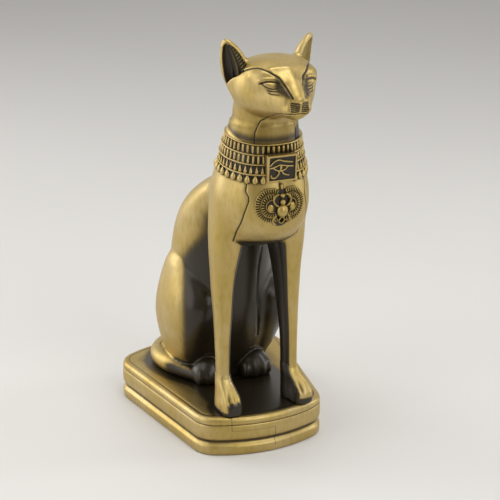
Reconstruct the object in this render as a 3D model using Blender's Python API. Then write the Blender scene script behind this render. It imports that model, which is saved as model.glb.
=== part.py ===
"""Seated cat goddess in a broad collar, cast in one, on its own stepped plinth.

The figure is modelled as soft masses blended into one another. Its masses are laid out in
millimetres above the top of the plinth for a figure LAYOUT_HEIGHT tall, facing -Y, and scaled
to FIGURE_HEIGHT. The plinth takes its plan from the reach of the paws, haunches and tail.
"""
import math

import bmesh
import bpy
import numpy as np

# Figure, in metres
FIGURE_HEIGHT = 0.1624
SEAT_GAP = 0.0003

# Plinth, in metres
PLINTH_HEIGHT = 0.0176
TOE_MARGIN = 0.003
TAIL_MARGIN = 0.005
PAW_SIDE_MARGIN = 0.0064
HAUNCH_SIDE_MARGIN = 0.0123
FRONT_BOW = 0.0081
BACK_BOW = 0.0131
CORNER_RADIUS = 0.012
FOOT_BAND_HEIGHT = 0.0047
COVE_HEIGHT = 0.0027
COVE_DEPTH = 0.0013
LIP_HEIGHT = 0.0033
LIP_ROLL = 0.0018
LIP_GROOVE_DEPTH = 0.0006
UNDERSIDE_EASE = 0.001
BAND_EASE = 0.0008

# Layout of the figure, in its own millimetres
LAYOUT_HEIGHT = 162.4
TOE_REACH = 46.2
TAIL_REACH = 41.2
PAW_REACH = 22.8
PAW_SWAY = 1.6
HAUNCH_REACH = 28.7
EAR_TURN = 43
COLLAR_TOP = 120.7
COLLAR_RISE = 2.0
COLLAR_RISE_RUN = 18
COLLAR_CORNER = -51.5
COLLAR_THICKNESS = 0.9
RIM_DROPS = (0, 4.2, 8.1, 12)
RIM_RADIUS = 1.0
HEM_DROP = 15
TABLET_CENTRE = (0.2, -57.9, 111.6)
TABLET_HALF = (6.4, 2.2, 5.5)
TABLET_LEAN = 3
FRAME = 1.3
FIELD_DEPTH = 0.6
CELL = 0.9
FIGURE_TRIANGLES = 8200

BRASS = (0.38, 0.27, 0.09, 1.0)


# Blends and plain masses: each takes p, the arrays x, y and z, and gives a distance to its surface

def ramp(value, low, high):
    """0 below low, 1 above high, smooth between."""
    t = np.clip((value - low) / (high - low), 0, 1)
    return t * t * (3 - 2 * t)


def fuse(a, b, soft):
    """Union of two masses with a fillet of about the width soft."""
    h = np.maximum(soft - np.abs(a - b), 0.0) / soft
    return np.minimum(a, b) - h * h * soft / 4


def carve(a, b, soft):
    """Mass a with mass b taken out of it."""
    return -fuse(-a, b, soft)


def curve(t, rows, column):
    """Smooth curve through one column of rows, over their first column."""
    rows = np.asarray(rows, float)
    knots, values = rows[:, 0], rows[:, column]
    slopes = np.gradient(values, knots)
    t = np.clip(t, knots[0], knots[-1])
    i = np.clip(np.searchsorted(knots, t) - 1, 0, len(knots) - 2)
    width = knots[i + 1] - knots[i]
    s = (t - knots[i]) / width
    start = (1 + 2 * s) * (1 - s) ** 2 * values[i] + s * (1 - s) ** 2 * width * slopes[i]
    end = s * s * (3 - 2 * s) * values[i + 1] + s * s * (s - 1) * width * slopes[i + 1]
    return start + end


def oval(u, v, half_u, half_v, square=2.0):
    """Distance from an oval outline, squarer as square grows past 2."""
    a, b = np.abs(u) / half_u, np.abs(v) / half_v
    k = np.maximum((a ** square + b ** square) ** (1 / square), 1e-6)
    slope = k ** (1 - square) * np.hypot(a ** (square - 1) / half_u, b ** (square - 1) / half_v)
    return (k - 1) / np.maximum(slope, 1e-3)


def ends(t, rows):
    """Distance beyond the first or the last row of a lofted mass."""
    return np.maximum(rows[0][0] - t, t - rows[-1][0])


def turned(x, y, degrees):
    """Coordinates along and across a direction turned about the vertical."""
    c, s = math.cos(math.radians(degrees)), math.sin(math.radians(degrees))
    return x * c + y * s, y * c - x * s


def ball(p, centre, radii, pitch=0.0, yaw=0.0):
    """Ellipsoid, pitched up and then turned."""
    x, y, z = (q - c for q, c in zip(p, centre))
    x, y = turned(x, y, yaw)
    y, z = turned(y, z, pitch)
    a, b, c = radii
    k = np.sqrt((x / a) ** 2 + (y / b) ** 2 + (z / c) ** 2)
    slope = np.sqrt((x / a ** 2) ** 2 + (y / b ** 2) ** 2 + (z / c ** 2) ** 2)
    return k * (k - 1) / np.maximum(slope, 1e-6)


def strand(p, points):
    """Round bar through points of x, y, z and radius."""
    whole = None
    for start, end in zip(points, points[1:]):
        start, end = np.array(start, float), np.array(end, float)
        along = end - start
        t = np.clip(sum((q - s) * a for q, s, a in zip(p, start, along)) / (along[:3] @ along[:3]), 0, 1)
        away = np.sqrt(sum((q - s - t * a) ** 2 for q, s, a in zip(p, start, along)))
        bar = away - (start[3] + t * along[3])
        whole = bar if whole is None else np.minimum(whole, bar)
    return whole


def slab(p, centre, half, tilt, edge):
    """Box with rounded edges, tilted back about its width."""
    x, y, z = (q - c for q, c in zip(p, centre))
    y, z = turned(y, z, tilt)
    past = [np.abs(v) - h + edge for v, h in zip((x, y, z), half)]
    outside = np.sqrt(sum(np.maximum(v, 0) ** 2 for v in past))
    return outside + np.minimum(np.maximum(np.maximum(past[0], past[1]), past[2]), 0) - edge


# The cat's masses

def trunk(p):
    """Rump and back, chest and neck, each as rows of height, front, back and half width."""
    x, y, z = p
    rump = [(-6, -6, 37, 19.5), (0, -6, 38, 20), (8, -8, 38.5, 21.5), (20, -14, 38.3, 22.5),
            (35, -18.5, 36.3, 22.3), (48, -20, 33.2, 22.3), (60, -20.5, 29, 22.4), (70, -21, 24.6, 22),
            (80, -23, 17.2, 21.2), (88, -27, 8.6, 19.3), (95, -33, -2, 16.7), (101, -38, -13.8, 13.6),
            (107, -43, -20.6, 12), (114, -47, -21.5, 11.5)]
    chest = [(73, -37, -27, 3), (74.5, -42, -24, 9), (77, -47.5, -22, 13.5), (82, -53, -21, 16.8),
             (88, -56.3, -20, 18.8), (96.4, -58, -20, 19.2), (104, -57, -20, 18.3),
             (111, -55.2, -20.5, 17.2), (117, -53.8, -22, 16), (122, -53.4, -24, 14.6),
             (127, -53, -26, 13.3)]
    neck = [(112, -52, -22, 14.5), (118, -52.5, -24.5, 14), (124, -53, -26, 13.3), (130, -53.5, -27, 13),
            (137, -54.5, -28.8, 12.8), (143, -55, -31.5, 11.5), (148, -54, -36, 8)]
    whole = None
    for rows, soft in ((rump, 0), (chest, 3), (neck, 3)):
        front, back, half = (curve(z, rows, column) for column in (1, 2, 3))
        mass = np.maximum(oval(x, y - (front + back) / 2, half, (back - front) / 2), ends(z, rows))
        whole = mass if whole is None else fuse(whole, mass, soft)
    return whole


def post(p, rows, square, turn):
    """Upright limb: rows of height, centre across, centre along, half width and half depth."""
    x, y, z = p
    across, along, half_width, half_depth = (curve(z, rows, column) for column in (1, 2, 3, 4))
    u, v = turned(x - across, y - along, turn)
    return np.maximum(oval(u, v, half_width, half_depth, square), ends(z, rows))


def foreleg(p):
    rows = [(-6, 16, -35, 3.6, 5.5), (2, 16, -35, 3.5, 5.2), (8, 15.8, -34.5, 3.3, 4.6),
            (14, 15.6, -33.8, 3, 4.2), (22, 15.6, -33.4, 3, 4.2), (32, 15.5, -33, 3.3, 4.6),
            (42, 15.2, -32.5, 3.9, 5.3), (52, 15, -31.8, 4.6, 6.3), (62, 14.5, -31.5, 5.4, 7.6),
            (72, 13.8, -31.8, 6.6, 9.2), (80, 13.1, -32, 7.4, 10.5), (90, 11.9, -32.5, 8.2, 12),
            (100, 10.4, -33, 8.8, 13), (108, 9, -33.5, 8, 12)]
    return post(p, rows, 2.5, 9)


def foot(p, centre, turn, size, toe_height):
    """Paw of half width, half length and height, with four toes in front."""
    x, y, z = p
    u, v = turned(x - centre[0], y - centre[1], turn)
    q = (u, v, z)
    wide, long, high = size
    pad = ball(q, (0, 0, high * 0.36), (wide, long, high * 0.66), -22)
    toes = None
    for side, back in ((-0.72, 0.12), (-0.25, 0.0), (0.25, 0.0), (0.72, 0.12)):
        at = (side * wide, -long * (0.66 - back), toe_height * 0.46)
        toe = ball(q, at, (wide * 0.3, long * 0.42, toe_height * 0.62))
        toes = toe if toes is None else fuse(toes, toe, 1.8)
    return fuse(pad, toes, 2.4)


def paw_across(p):
    """Place across a forepaw, mirrored: both paws stand a little to the cat's left of their legs."""
    x, y, z = p
    return np.abs(x) - PAW_SWAY * np.sign(x) * ramp(-z, -14, -6)


def forepaw(p):
    """A wedge: a blunt upright front, and a top that slopes up to the ankle."""
    rows = [(-6, 16.4, -38.9, 4.8, 7.3), (0, 16.4, -38.9, 4.8, 7.3), (3, 16.4, -38.9, 4.8, 7.3),
            (5.2, 16.4, -38.7, 4.6, 7.1), (6.6, 16.3, -38.2, 4.4, 6.6), (8.6, 16.1, -37.2, 4, 5.6),
            (11, 15.9, -35.8, 3.6, 4.7), (14.5, 15.6, -34, 2.6, 3.4)]
    return post((paw_across(p), p[1], p[2]), rows, 3, 6)


def thigh(p):
    """Rows of height, front, back, centre across and half width."""
    x, y, z = p
    rows = [(-6, 2, 22, 13.5, 7), (0, 0, 23, 13.5, 7.5), (6, -2.5, 25, 14, 8.6), (12, -6, 27, 14.8, 10.2),
            (20, -10.5, 29, 15.6, 11.4), (28, -15, 29.8, 16.1, 12), (34, -17.2, 29, 16, 11.9),
            (39, -17.6, 27.6, 15.8, 11.6), (43, -16.2, 26.2, 15.5, 11.2), (47, -13.2, 24.4, 15.2, 10.7),
            (51, -9.6, 21.8, 15, 10.1), (55, -5.6, 18.2, 15, 9.2), (58, -2.2, 14.6, 14.8, 7.6),
            (60.5, 1.4, 9, 14, 3.2)]
    front, back, across, half = (curve(z, rows, column) for column in (1, 2, 3, 4))
    side = oval(x - across, y - (front + back) / 2, half, (back - front) / 2, 2.3)
    return np.maximum(side, ends(z, rows))


def tail(p):
    """The tail lies round the cat's right side, its tip beside the hind paw."""
    marks = [(0, 0, 37, 5, 4.2), (1, -8, 36.8, 4.2, 4.1), (2, -15.3, 34.6, 3.7, 4),
             (3, -20.8, 29.8, 3.6, 4), (4, -24.1, 22.8, 3.7, 4.1), (5, -24.6, 15, 3.8, 4.1),
             (6, -22.9, 7.5, 3.8, 4), (7, -20.2, 1.2, 3.6, 3.7), (8, -17.4, -3.9, 3.3, 3.3),
             (9, -15.6, -6.8, 3, 2.9)]
    places = np.linspace(0, 9, 28)
    path = np.stack([curve(places, marks, column) for column in (1, 2, 3, 4)], 1)
    return strand(p, path)


def limbs(p):
    """Everything below the collar, mirrored except for the tail."""
    x, y, z = p
    mirrored = (np.abs(x), y, z)
    whole = fuse(trunk(p), foreleg(mirrored), 3.0)
    whole = fuse(whole, forepaw(p), 1.5)
    whole = fuse(whole, thigh(mirrored), 1.4 + 4 * ramp(-mirrored[0], -15, -9))
    whole = fuse(whole, foot(mirrored, (10.6, -3), 4, (7.4, 9.6, 11.5), 6.5), 0.8)
    whole = fuse(whole, tail(p), 1.0)
    return np.maximum(whole, -z)


def skull(p):
    """Rows along the head, from the nose back: place, underside, top and half width."""
    x, y, z = p
    rows = [(-74, 138.8, 141.2, 0.6), (-73.2, 137, 142.8, 3), (-71.5, 135.6, 144.8, 5.2),
            (-68.5, 135.2, 147.4, 7.5), (-64.5, 134.3, 151, 10.1), (-61.5, 133.4, 153.6, 12),
            (-58, 132.9, 154.7, 13.9), (-51, 131.8, 155.9, 15.9), (-46, 131.6, 155.9, 16),
            (-41, 132.6, 154.6, 15.2), (-36, 135, 151.6, 12.6), (-32.5, 138, 148.4, 8.6),
            (-30.6, 141.4, 145.4, 3.5)]
    low, high, half = (curve(y, rows, column) for column in (1, 2, 3))
    head = np.maximum(oval(x, z - (low + high) / 2, half, (high - low) / 2, 2.35), ends(y, rows))
    brow = ball(p, (7, -56, 149.6), (7, 8, 4.6), 20, 12)
    bridge = strand(p, [(0, -62, 149.4, 2.8), (0, -66, 147.6, 2.6), (0, -71.4, 142.6, 2)])
    pad = ball(p, (2.6, -70.2, 138.6), (3.1, 3.5, 2.5), 0, 15)
    chin = ball(p, (0, -68, 136), (3.4, 4, 1.9))
    for mass, soft in ((brow, 3.0), (bridge, 3.0), (pad, 1.2), (chin, 1.5)):
        head = fuse(head, mass, soft)
    return carve(head, ball(p, (8.4, -69.6, 147), (4.2, 4, 2.4), 0, -35), 2.5)


def face(p, head):
    """Eyes in their sockets, the groove that edges the brow, and the mouth."""
    upper_lid = [(12, -62, 147.5, 0.5), (10.6, -63.4, 148.8, 0.6), (8.8, -64.6, 149.1, 0.6),
                 (6.9, -65.4, 148.4, 0.6), (5, -66.4, 146.5, 0.5)]
    brow_edge = [(15.6, -46.6, 148, 0.4), (13.6, -52, 151.8, 0.5), (11.1, -57.6, 153.1, 0.5),
                 (8.2, -60.3, 152.8, 0.6), (6.7, -62.3, 151.7, 0.6), (4.8, -64.9, 149.6, 0.6),
                 (3.8, -67.5, 147.6, 0.6), (2.7, -72.3, 143.8, 0.4)]
    mouth = [(0, -74.2, 137.6, 0.4), (2.4, -73.6, 137.6, 0.5), (4.6, -71.8, 136.8, 0.5),
             (6.6, -68, 136.2, 0.4), (9.4, -62.6, 135.2, 0.3)]
    head = fuse(head, ball(p, (8.5, -63.3, 147.5), (3.6, 1.9, 1.6), 0, 31), 0.4)
    head = fuse(head, strand(p, upper_lid), 0.5)
    for line in (brow_edge, mouth):
        head = carve(head, strand(p, line), 0.4)
    return head


def ear(p):
    """A pointed shell, open to the front and side."""
    outer = [(139, 12, -44, 2.6, 2.6), (142, 12.4, -43.8, 4.6, 3.7), (146, 12.9, -43.6, 6.1, 4.2),
             (150, 13.9, -43.4, 6.2, 3.8), (154, 15, -43.3, 5.6, 3.2), (157.5, 16.1, -43.4, 4.4, 2.6),
             (160.6, 17.4, -43.6, 2.6, 1.7), (161.8, 17.9, -43.6, 1.5, 1), (162.4, 18.1, -43.6, 0.4, 0.3)]
    return post(p, outer, 2, EAR_TURN)


def ear_hollow(p):
    """The open cup of the ear, floored by the ledge that runs on into the line round the mask."""
    cup = [(141, 14.9, -47.4, 4.2, 3), (146, 14.9, -47, 5.6, 3.5), (150, 15.2, -46.7, 5.5, 3.3),
           (154, 16.2, -46, 4.6, 2.8), (157.5, 17.2, -45.2, 3.1, 2.1), (160, 18.1, -44.8, 1.4, 1.1),
           (160.8, 18.4, -44.7, 0.3, 0.3)]
    floor = 0.61 * (p[1] + 42) + 0.79 * (p[2] - 144)
    return np.maximum(post(p, cup, 2, EAR_TURN + 1), -floor)


def head(p):
    """Skull, face and ears of one half, the ears cupped."""
    return carve(fuse(face(p, skull(p)), ear(p), 2.6), ear_hollow(p), 0.7)


# What the cat wears, cast in one with it

def collar_drop(y, z):
    """Distance below the collar's top line, which rises to the back."""
    return COLLAR_TOP + COLLAR_RISE * np.clip((y - COLLAR_CORNER) / COLLAR_RISE_RUN, 0, 1.1) - z


def collar(p, body):
    """Broad collar: four rims round a band that rises to the sides, with a hem of drops below."""
    x, y, z = p
    below = collar_drop(y, z)
    band = carve(body - COLLAR_THICKNESS, -np.maximum(-below, below - HEM_DROP), 1.0)
    for drop in RIM_DROPS:
        rim = np.hypot(body - COLLAR_THICKNESS + 0.3, below - drop) - RIM_RADIUS
        band = fuse(band, rim, 0.6)
    return band


def plaque(p):
    """Framed tablet on the front of the collar, its field sunk inside the frame."""
    across, along, up = TABLET_CENTRE
    wide, deep, high = TABLET_HALF
    tablet = slab(p, (across, along + deep, up), TABLET_HALF, TABLET_LEAN, 0.4)
    inside = (wide - FRAME, deep, high - FRAME)
    field = slab(p, (across, along - deep + FIELD_DEPTH, up), inside, TABLET_LEAN, 0.4)
    return carve(tablet, field, 0.4)


def pendant(p, body):
    """Winged scarab on the chest, below the plaque; p is mirrored across the middle."""
    x, y, z = p
    wing = oval(x - 4.2, z - 96.4, 6.1, 6.95)
    whole = np.maximum(np.maximum(body - 0.7, wing), y + 40)
    for height, reach in ((98.7, 2.7), (90.8, 2.6)):
        legs = np.hypot(body - 0.5, np.hypot(x, z - height) - reach) - 0.7
        whole = fuse(whole, np.maximum(legs, y + 40), 0.4)
    beetle = ball(p, (0, -57.6, 94.3), (2.4, 2.4, 2.8))
    breast = ball(p, (0, -57.7, 97.9), (1.3, 1.9, 1.4))
    sun = ball(p, (0, -57.4, 100.5), (1.2, 1.8, 1.2))
    link = strand(p, [(0, -57.2, 102.6, 0.8), (0, -56.8, 105.9, 0.9)])
    for mass in (beetle, breast, sun, link):
        whole = fuse(whole, mass, 0.5)
    return whole


def figure(p):
    """The whole casting, cut off flat where it sits on the plinth."""
    x, y, z = p
    mirrored = (np.abs(x), y, z)
    body = limbs(p)
    whole = fuse(body, head(mirrored), 3.0)
    whole = fuse(whole, collar(p, body), 0.5)
    whole = fuse(whole, plaque(p), 0.4)
    whole = fuse(whole, pendant(mirrored, whole), 0.4)
    return np.maximum(whole, -z)


# From masses to a mesh

CORNERS = np.array([(i, j, k) for i in (0, 1) for j in (0, 1) for k in (0, 1)])
SIDES = [[n for n in range(8) if CORNERS[n][axis] == side] for axis in range(3) for side in (0, 1)]


def corners(grid):
    """The eight arrays that hold each cell's corners."""
    return [grid[tuple(slice(i, n - 1 + i) for i, n in zip(corner, grid.shape))] for corner in CORNERS]


def fill_pinches(value):
    """Fill the grid points where parts of the mass would meet only along an edge or at a point."""
    found = True
    while found:
        solid = corners(value < 0)
        filled = np.zeros(value.shape, bool)
        for group, apart in [(side, 2) for side in SIDES] + [(range(8), 3)]:
            inside = sum(solid[i].astype(int) for i in group)
            for a, b in ((a, b) for a in group for b in group if (CORNERS[a] != CORNERS[b]).sum() == apart):
                pinched = (solid[a] == solid[b]) & (inside == np.where(solid[a], 2, len(group) - 2))
                for view in corners(filled):
                    view |= pinched
        filled &= value >= 0
        value[filled] = -0.02
        found = filled.any()
    return value


def skin(field, low, high, step):
    """Closed quad mesh of the surface of a mass: one vertex in each cell that the surface crosses."""
    count = [int(math.ceil((b - a) / step)) + 1 for a, b in zip(low, high)]
    axes = [a + step * np.arange(n) for a, n in zip(low, count)]
    value = np.stack([field(np.meshgrid(axes[0], axes[1], height, indexing="ij")) for height in axes[2]], 2)
    value = fill_pinches(value.reshape(count))
    solid = value < 0
    shifted = corners(solid)
    crossed = np.logical_or.reduce(shifted) & ~np.logical_and.reduce(shifted)
    cell = np.argwhere(crossed)
    number = np.full(crossed.shape, -1)
    number[crossed] = np.arange(len(cell))
    at = np.stack([value[tuple((cell + corner).T)] for corner in CORNERS], 1)
    total, hits = np.zeros((len(cell), 3)), np.zeros((len(cell), 1))
    for a, b in ((a, b) for a in range(8) for b in range(a) if abs(CORNERS[a] - CORNERS[b]).sum() == 1):
        cut = ((at[:, a] < 0) != (at[:, b] < 0))[:, None]
        share = at[:, a, None] / np.where(cut, at[:, a, None] - at[:, b, None], 1)
        total += np.where(cut, CORNERS[a] + share * (CORNERS[b] - CORNERS[a]), 0)
        hits += cut
    points = np.array(low) + step * (cell + total / hits)
    quads = []
    for axis in range(3):
        u, v = (axis + 1) % 3, (axis + 2) % 3
        near = np.take(solid, range(count[axis] - 1), axis)
        far = np.take(solid, range(1, count[axis]), axis)
        for edges, order in ((near & ~far, (0, 1, 2, 3)), (far & ~near, (3, 2, 1, 0))):
            start = np.argwhere(edges)
            around = []
            for du, dv in ((1, 1), (0, 1), (0, 0), (1, 0)):
                beside = start.copy()
                beside[:, u] -= du
                beside[:, v] -= dv
                around.append(number[tuple(beside.T)])
            quads.append(np.stack([around[i] for i in order], 1))
    return points, np.concatenate(quads)


def settle(field, points, step):
    """Move the points of a skin onto the surface, along the field's slope."""
    nudge = np.eye(3) * 0.05
    for _ in range(2):
        value = field(points.T)
        slope = np.stack([field((points + d).T) - field((points - d).T) for d in nudge], 1) / 0.1
        move = -slope * (value / np.maximum((slope ** 2).sum(1), 0.05))[:, None]
        reach = np.linalg.norm(move, axis=1, keepdims=True)
        points = points + move * np.minimum(1, step / 2 / np.maximum(reach, 1e-9))
    return points


def metal(name, colour, roughness):
    material = bpy.data.materials.new(name)
    material.use_nodes = True
    shader = material.node_tree.nodes["Principled BSDF"]
    shader.inputs["Base Color"].default_value = colour
    shader.inputs["Metallic"].default_value = 1.0
    shader.inputs["Roughness"].default_value = roughness
    return material


def add_object(name, mesh, material, parent, location):
    mesh.materials.append(material)
    made = bpy.data.objects.new(name, mesh)
    made.parent = parent
    made.location = location
    bpy.context.collection.objects.link(made)
    return made


def cat_figure(material, parent):
    """The cat on its seat: a skin over the masses, thinned where it is smooth."""
    unit = FIGURE_HEIGHT / LAYOUT_HEIGHT
    low = (-36 * CELL, -86 * CELL, -2.5 * CELL)
    points, quads = skin(figure, low, (36 * CELL, 50 * CELL, LAYOUT_HEIGHT + 3 * CELL), CELL)
    points = settle(figure, points, CELL)
    points[points[:, 2] < CELL / 3, 2] = 0
    mesh = bpy.data.meshes.new("cat_figure")
    mesh.from_pydata((points * unit).tolist(), [], quads.tolist())
    mesh.shade_smooth()
    location = (0, toe_line() + TOE_REACH * unit, PLINTH_HEIGHT + SEAT_GAP)
    cat = add_object("cat_figure", mesh, material, parent, location)
    thin = cat.modifiers.new("thin", "DECIMATE")
    thin.ratio = FIGURE_TRIANGLES / (2 * len(quads))
    thin.use_collapse_triangulate = True
    return cat


# The plinth

def plinth_length():
    return (TOE_REACH + TAIL_REACH) * FIGURE_HEIGHT / LAYOUT_HEIGHT + TOE_MARGIN + TAIL_MARGIN


def toe_line():
    """Where the longest toes stand, seen from the middle of the plinth."""
    return TOE_MARGIN - plinth_length() / 2


def bowed_plan(turns_per_bow, turns_per_corner):
    """Points and outward normals of the plan, inset by the corner radius.

    The sides are straight and spread to the back; the ends are arcs that bow outwards.
    """
    unit = FIGURE_HEIGHT / LAYOUT_HEIGHT
    half = plinth_length() / 2
    front_half = PAW_REACH * unit + PAW_SIDE_MARGIN
    back_half = HAUNCH_REACH * unit + HAUNCH_SIDE_MARGIN
    run = 2 * half - FRONT_BOW - BACK_BOW
    spread = back_half - front_half
    side_normal = math.atan2(run, spread)
    side_length = math.hypot(run, spread)
    plan = []
    for end, width, bow in ((-1, front_half, FRONT_BOW), (1, back_half, BACK_BOW)):
        radius = (width ** 2 + bow ** 2) / (2 * bow)
        centre = end * (half - radius)
        inner = radius - CORNER_RADIUS
        reach = width * run / side_length + end * (-spread) * (half - bow - end * centre) / side_length
        gap = reach - CORNER_RADIUS
        limit = side_normal if end < 0 else math.pi - side_normal
        bend = limit - math.acos(min(1.0, gap / inner))
        corner = np.linspace(bend, limit, turns_per_corner + 1)
        bowed = np.linspace(-bend, bend, turns_per_bow + 1)
        angles = np.concatenate([-corner[::-1], bowed[1:-1], corner])
        for angle in angles:
            held = min(max(angle, -bend), bend)
            normal = (-end * math.sin(angle), end * math.cos(angle))
            point = (-end * inner * math.sin(held), centre + end * inner * math.cos(held))
            plan.append((point, normal))
    return plan


def plinth_profile():
    """Outset from the plan and height, from the underside up to the flat top."""
    cove = FOOT_BAND_HEIGHT
    band = cove + COVE_HEIGHT
    lip = PLINTH_HEIGHT - LIP_HEIGHT
    groove = LIP_GROOVE_DEPTH
    rows = [(-UNDERSIDE_EASE, 0), (-UNDERSIDE_EASE / 5, cove / 8), (0, cove / 3), (0, cove * 0.8),
            (-COVE_DEPTH * 0.3, cove), (-COVE_DEPTH, cove + COVE_HEIGHT / 3),
            (-COVE_DEPTH, band - COVE_HEIGHT / 3), (-COVE_DEPTH / 4, band), (0, band + BAND_EASE),
            (0, lip - groove), (-groove, lip), (-groove / 2, lip + groove)]
    for a in np.linspace(0, math.pi / 2, 5):
        height = PLINTH_HEIGHT - LIP_ROLL * 0.6 * (1 - math.sin(a))
        rows.append((-LIP_ROLL * (1 - math.cos(a)) - groove / 2, height))
    return rows


def plinth(material, parent):
    plan = bowed_plan(10, 5)
    mesh_rings = []
    shape = bmesh.new()
    for outset, height in plinth_profile():
        grow = CORNER_RADIUS + outset
        ring = [shape.verts.new((x + nx * grow, y + ny * grow, height)) for (x, y), (nx, ny) in plan]
        mesh_rings.append(ring)
    for lower, upper in zip(mesh_rings, mesh_rings[1:]):
        for i in range(len(plan)):
            j = (i + 1) % len(plan)
            shape.faces.new((lower[i], lower[j], upper[j], upper[i]))
    shape.faces.new(mesh_rings[0][::-1])
    shape.faces.new(mesh_rings[-1])
    bmesh.ops.recalc_face_normals(shape, faces=shape.faces)
    mesh = bpy.data.meshes.new("plinth")
    shape.to_mesh(mesh)
    shape.free()
    mesh.shade_smooth()
    mesh.set_sharp_from_angle(angle=math.radians(40))
    return add_object("plinth", mesh, material, parent, (0, 0, 0))


for old in list(bpy.data.objects):
    bpy.data.objects.remove(old)
statue = bpy.data.objects.new("statue", None)
bpy.context.collection.objects.link(statue)
cat_figure(metal("figure brass", BRASS, 0.32), statue)
plinth(metal("plinth brass", BRASS, 0.38), statue)
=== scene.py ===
"""Seated cat goddess in antique brass on a bowed plinth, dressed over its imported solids."""
import math

import bmesh
import bpy
import numpy as np
from mathutils import Matrix, Vector


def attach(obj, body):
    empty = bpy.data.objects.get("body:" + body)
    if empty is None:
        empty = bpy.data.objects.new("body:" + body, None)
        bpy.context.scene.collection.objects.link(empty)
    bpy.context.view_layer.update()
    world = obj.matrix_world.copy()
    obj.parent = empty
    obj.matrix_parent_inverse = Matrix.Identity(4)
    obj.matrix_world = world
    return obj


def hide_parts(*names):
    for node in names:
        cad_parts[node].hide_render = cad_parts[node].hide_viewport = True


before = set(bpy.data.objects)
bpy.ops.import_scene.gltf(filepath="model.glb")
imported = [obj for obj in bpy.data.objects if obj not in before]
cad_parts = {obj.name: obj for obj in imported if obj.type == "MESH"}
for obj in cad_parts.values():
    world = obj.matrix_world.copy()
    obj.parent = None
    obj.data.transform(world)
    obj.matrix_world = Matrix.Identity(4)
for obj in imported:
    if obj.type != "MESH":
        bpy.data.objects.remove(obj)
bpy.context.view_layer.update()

# The cat's body
# A hollow casting in zinc alloy, poured in a two-part mould and plated. The body is a slim trunk
# that sits back on its haunches, a full chest over straight forelegs, and a long neck.
# Every mass is laid out in millimetres above the plinth, and the casting is the blend of them all.

SEAT = np.array([0, 1.5, 17.9])


def ramp(value, low, high):
    """0 below low, 1 above high, smooth between."""
    t = np.clip((value - low) / (high - low), 0, 1)
    return t * t * (3 - 2 * t)


def fuse(a, b, soft):
    """Union of two masses with a fillet of about the width soft."""
    h = np.maximum(soft - np.abs(a - b), 0.0) / soft
    return np.minimum(a, b) - h * h * soft / 4


def carve(a, b, soft):
    """Mass a with mass b taken out of it."""
    return -fuse(-a, b, soft)


def curve(t, rows, column):
    """Smooth curve through one column of rows, over their first column."""
    rows = np.asarray(rows, float)
    knots, values = rows[:, 0], rows[:, column]
    slopes = np.gradient(values, knots)
    t = np.clip(t, knots[0], knots[-1])
    i = np.clip(np.searchsorted(knots, t) - 1, 0, len(knots) - 2)
    width = knots[i + 1] - knots[i]
    s = (t - knots[i]) / width
    start = (1 + 2 * s) * (1 - s) ** 2 * values[i] + s * (1 - s) ** 2 * width * slopes[i]
    end = s * s * (3 - 2 * s) * values[i + 1] + s * s * (s - 1) * width * slopes[i + 1]
    return start + end


def oval(u, v, half_u, half_v, square=2.0):
    """Distance from an oval outline, squarer as square grows past 2."""
    a, b = np.abs(u) / half_u, np.abs(v) / half_v
    k = np.maximum((a ** square + b ** square) ** (1 / square), 1e-6)
    slope = k ** (1 - square) * np.hypot(a ** (square - 1) / half_u, b ** (square - 1) / half_v)
    return (k - 1) / np.maximum(slope, 1e-3)


def ends(t, rows):
    """Distance beyond the first or the last row of a lofted mass."""
    return np.maximum(rows[0][0] - t, t - rows[-1][0])


def trunk(p):
    """Rump and back, chest and neck, each as rows of height, front, back and half width."""
    x, y, z = p
    rump = [(-6, -6, 37, 19.5), (0, -6, 38, 20), (8, -8, 38.5, 21.5), (20, -14, 38.3, 22.5),
            (35, -18.5, 36.3, 22.3), (48, -20, 33.2, 22.3), (60, -20.5, 29, 22.4), (70, -21, 24.6, 22),
            (80, -23, 17.2, 21.2), (88, -27, 8.6, 19.3), (95, -33, -2, 16.7), (101, -38, -13.8, 13.6),
            (107, -43, -20.6, 12), (114, -47, -21.5, 11.5)]
    chest = [(73, -37, -27, 3), (74.5, -42, -24, 9), (77, -47.5, -22, 13.5), (82, -53, -21, 16.8),
             (88, -56.3, -20, 18.8), (96.4, -58, -20, 19.2), (104, -57, -20, 18.3),
             (111, -55.2, -20.5, 17.2), (117, -53.8, -22, 16), (122, -53.4, -24, 14.6),
             (127, -53, -26, 13.3)]
    neck = [(112, -52, -22, 14.5), (118, -52.5, -24.5, 14), (124, -53, -26, 13.3), (130, -53.5, -27, 13),
            (137, -54.5, -28.8, 12.8), (143, -55, -31.5, 11.5), (148, -54, -36, 8)]
    whole = None
    for rows, soft in ((rump, 0), (chest, 3), (neck, 3)):
        front, back, half = (curve(z, rows, column) for column in (1, 2, 3))
        mass = np.maximum(oval(x, y - (front + back) / 2, half, (back - front) / 2), ends(z, rows))
        whole = mass if whole is None else fuse(whole, mass, soft)
    return whole


# The legs and paws
# Straight forelegs, squarish with a crisp front face, and haunches folded over the hind paws. They are
# cast in one with the body. Each paw has four toes, and the tail lies round the right side.

def turned(x, y, degrees):
    """Coordinates along and across a direction turned about the vertical."""
    c, s = math.cos(math.radians(degrees)), math.sin(math.radians(degrees))
    return x * c + y * s, y * c - x * s


def ball(p, centre, radii, pitch=0.0, yaw=0.0):
    """Ellipsoid, pitched up and then turned."""
    x, y, z = (q - c for q, c in zip(p, centre))
    x, y = turned(x, y, yaw)
    y, z = turned(y, z, pitch)
    a, b, c = radii
    k = np.sqrt((x / a) ** 2 + (y / b) ** 2 + (z / c) ** 2)
    slope = np.sqrt((x / a ** 2) ** 2 + (y / b ** 2) ** 2 + (z / c ** 2) ** 2)
    return k * (k - 1) / np.maximum(slope, 1e-6)


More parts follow.
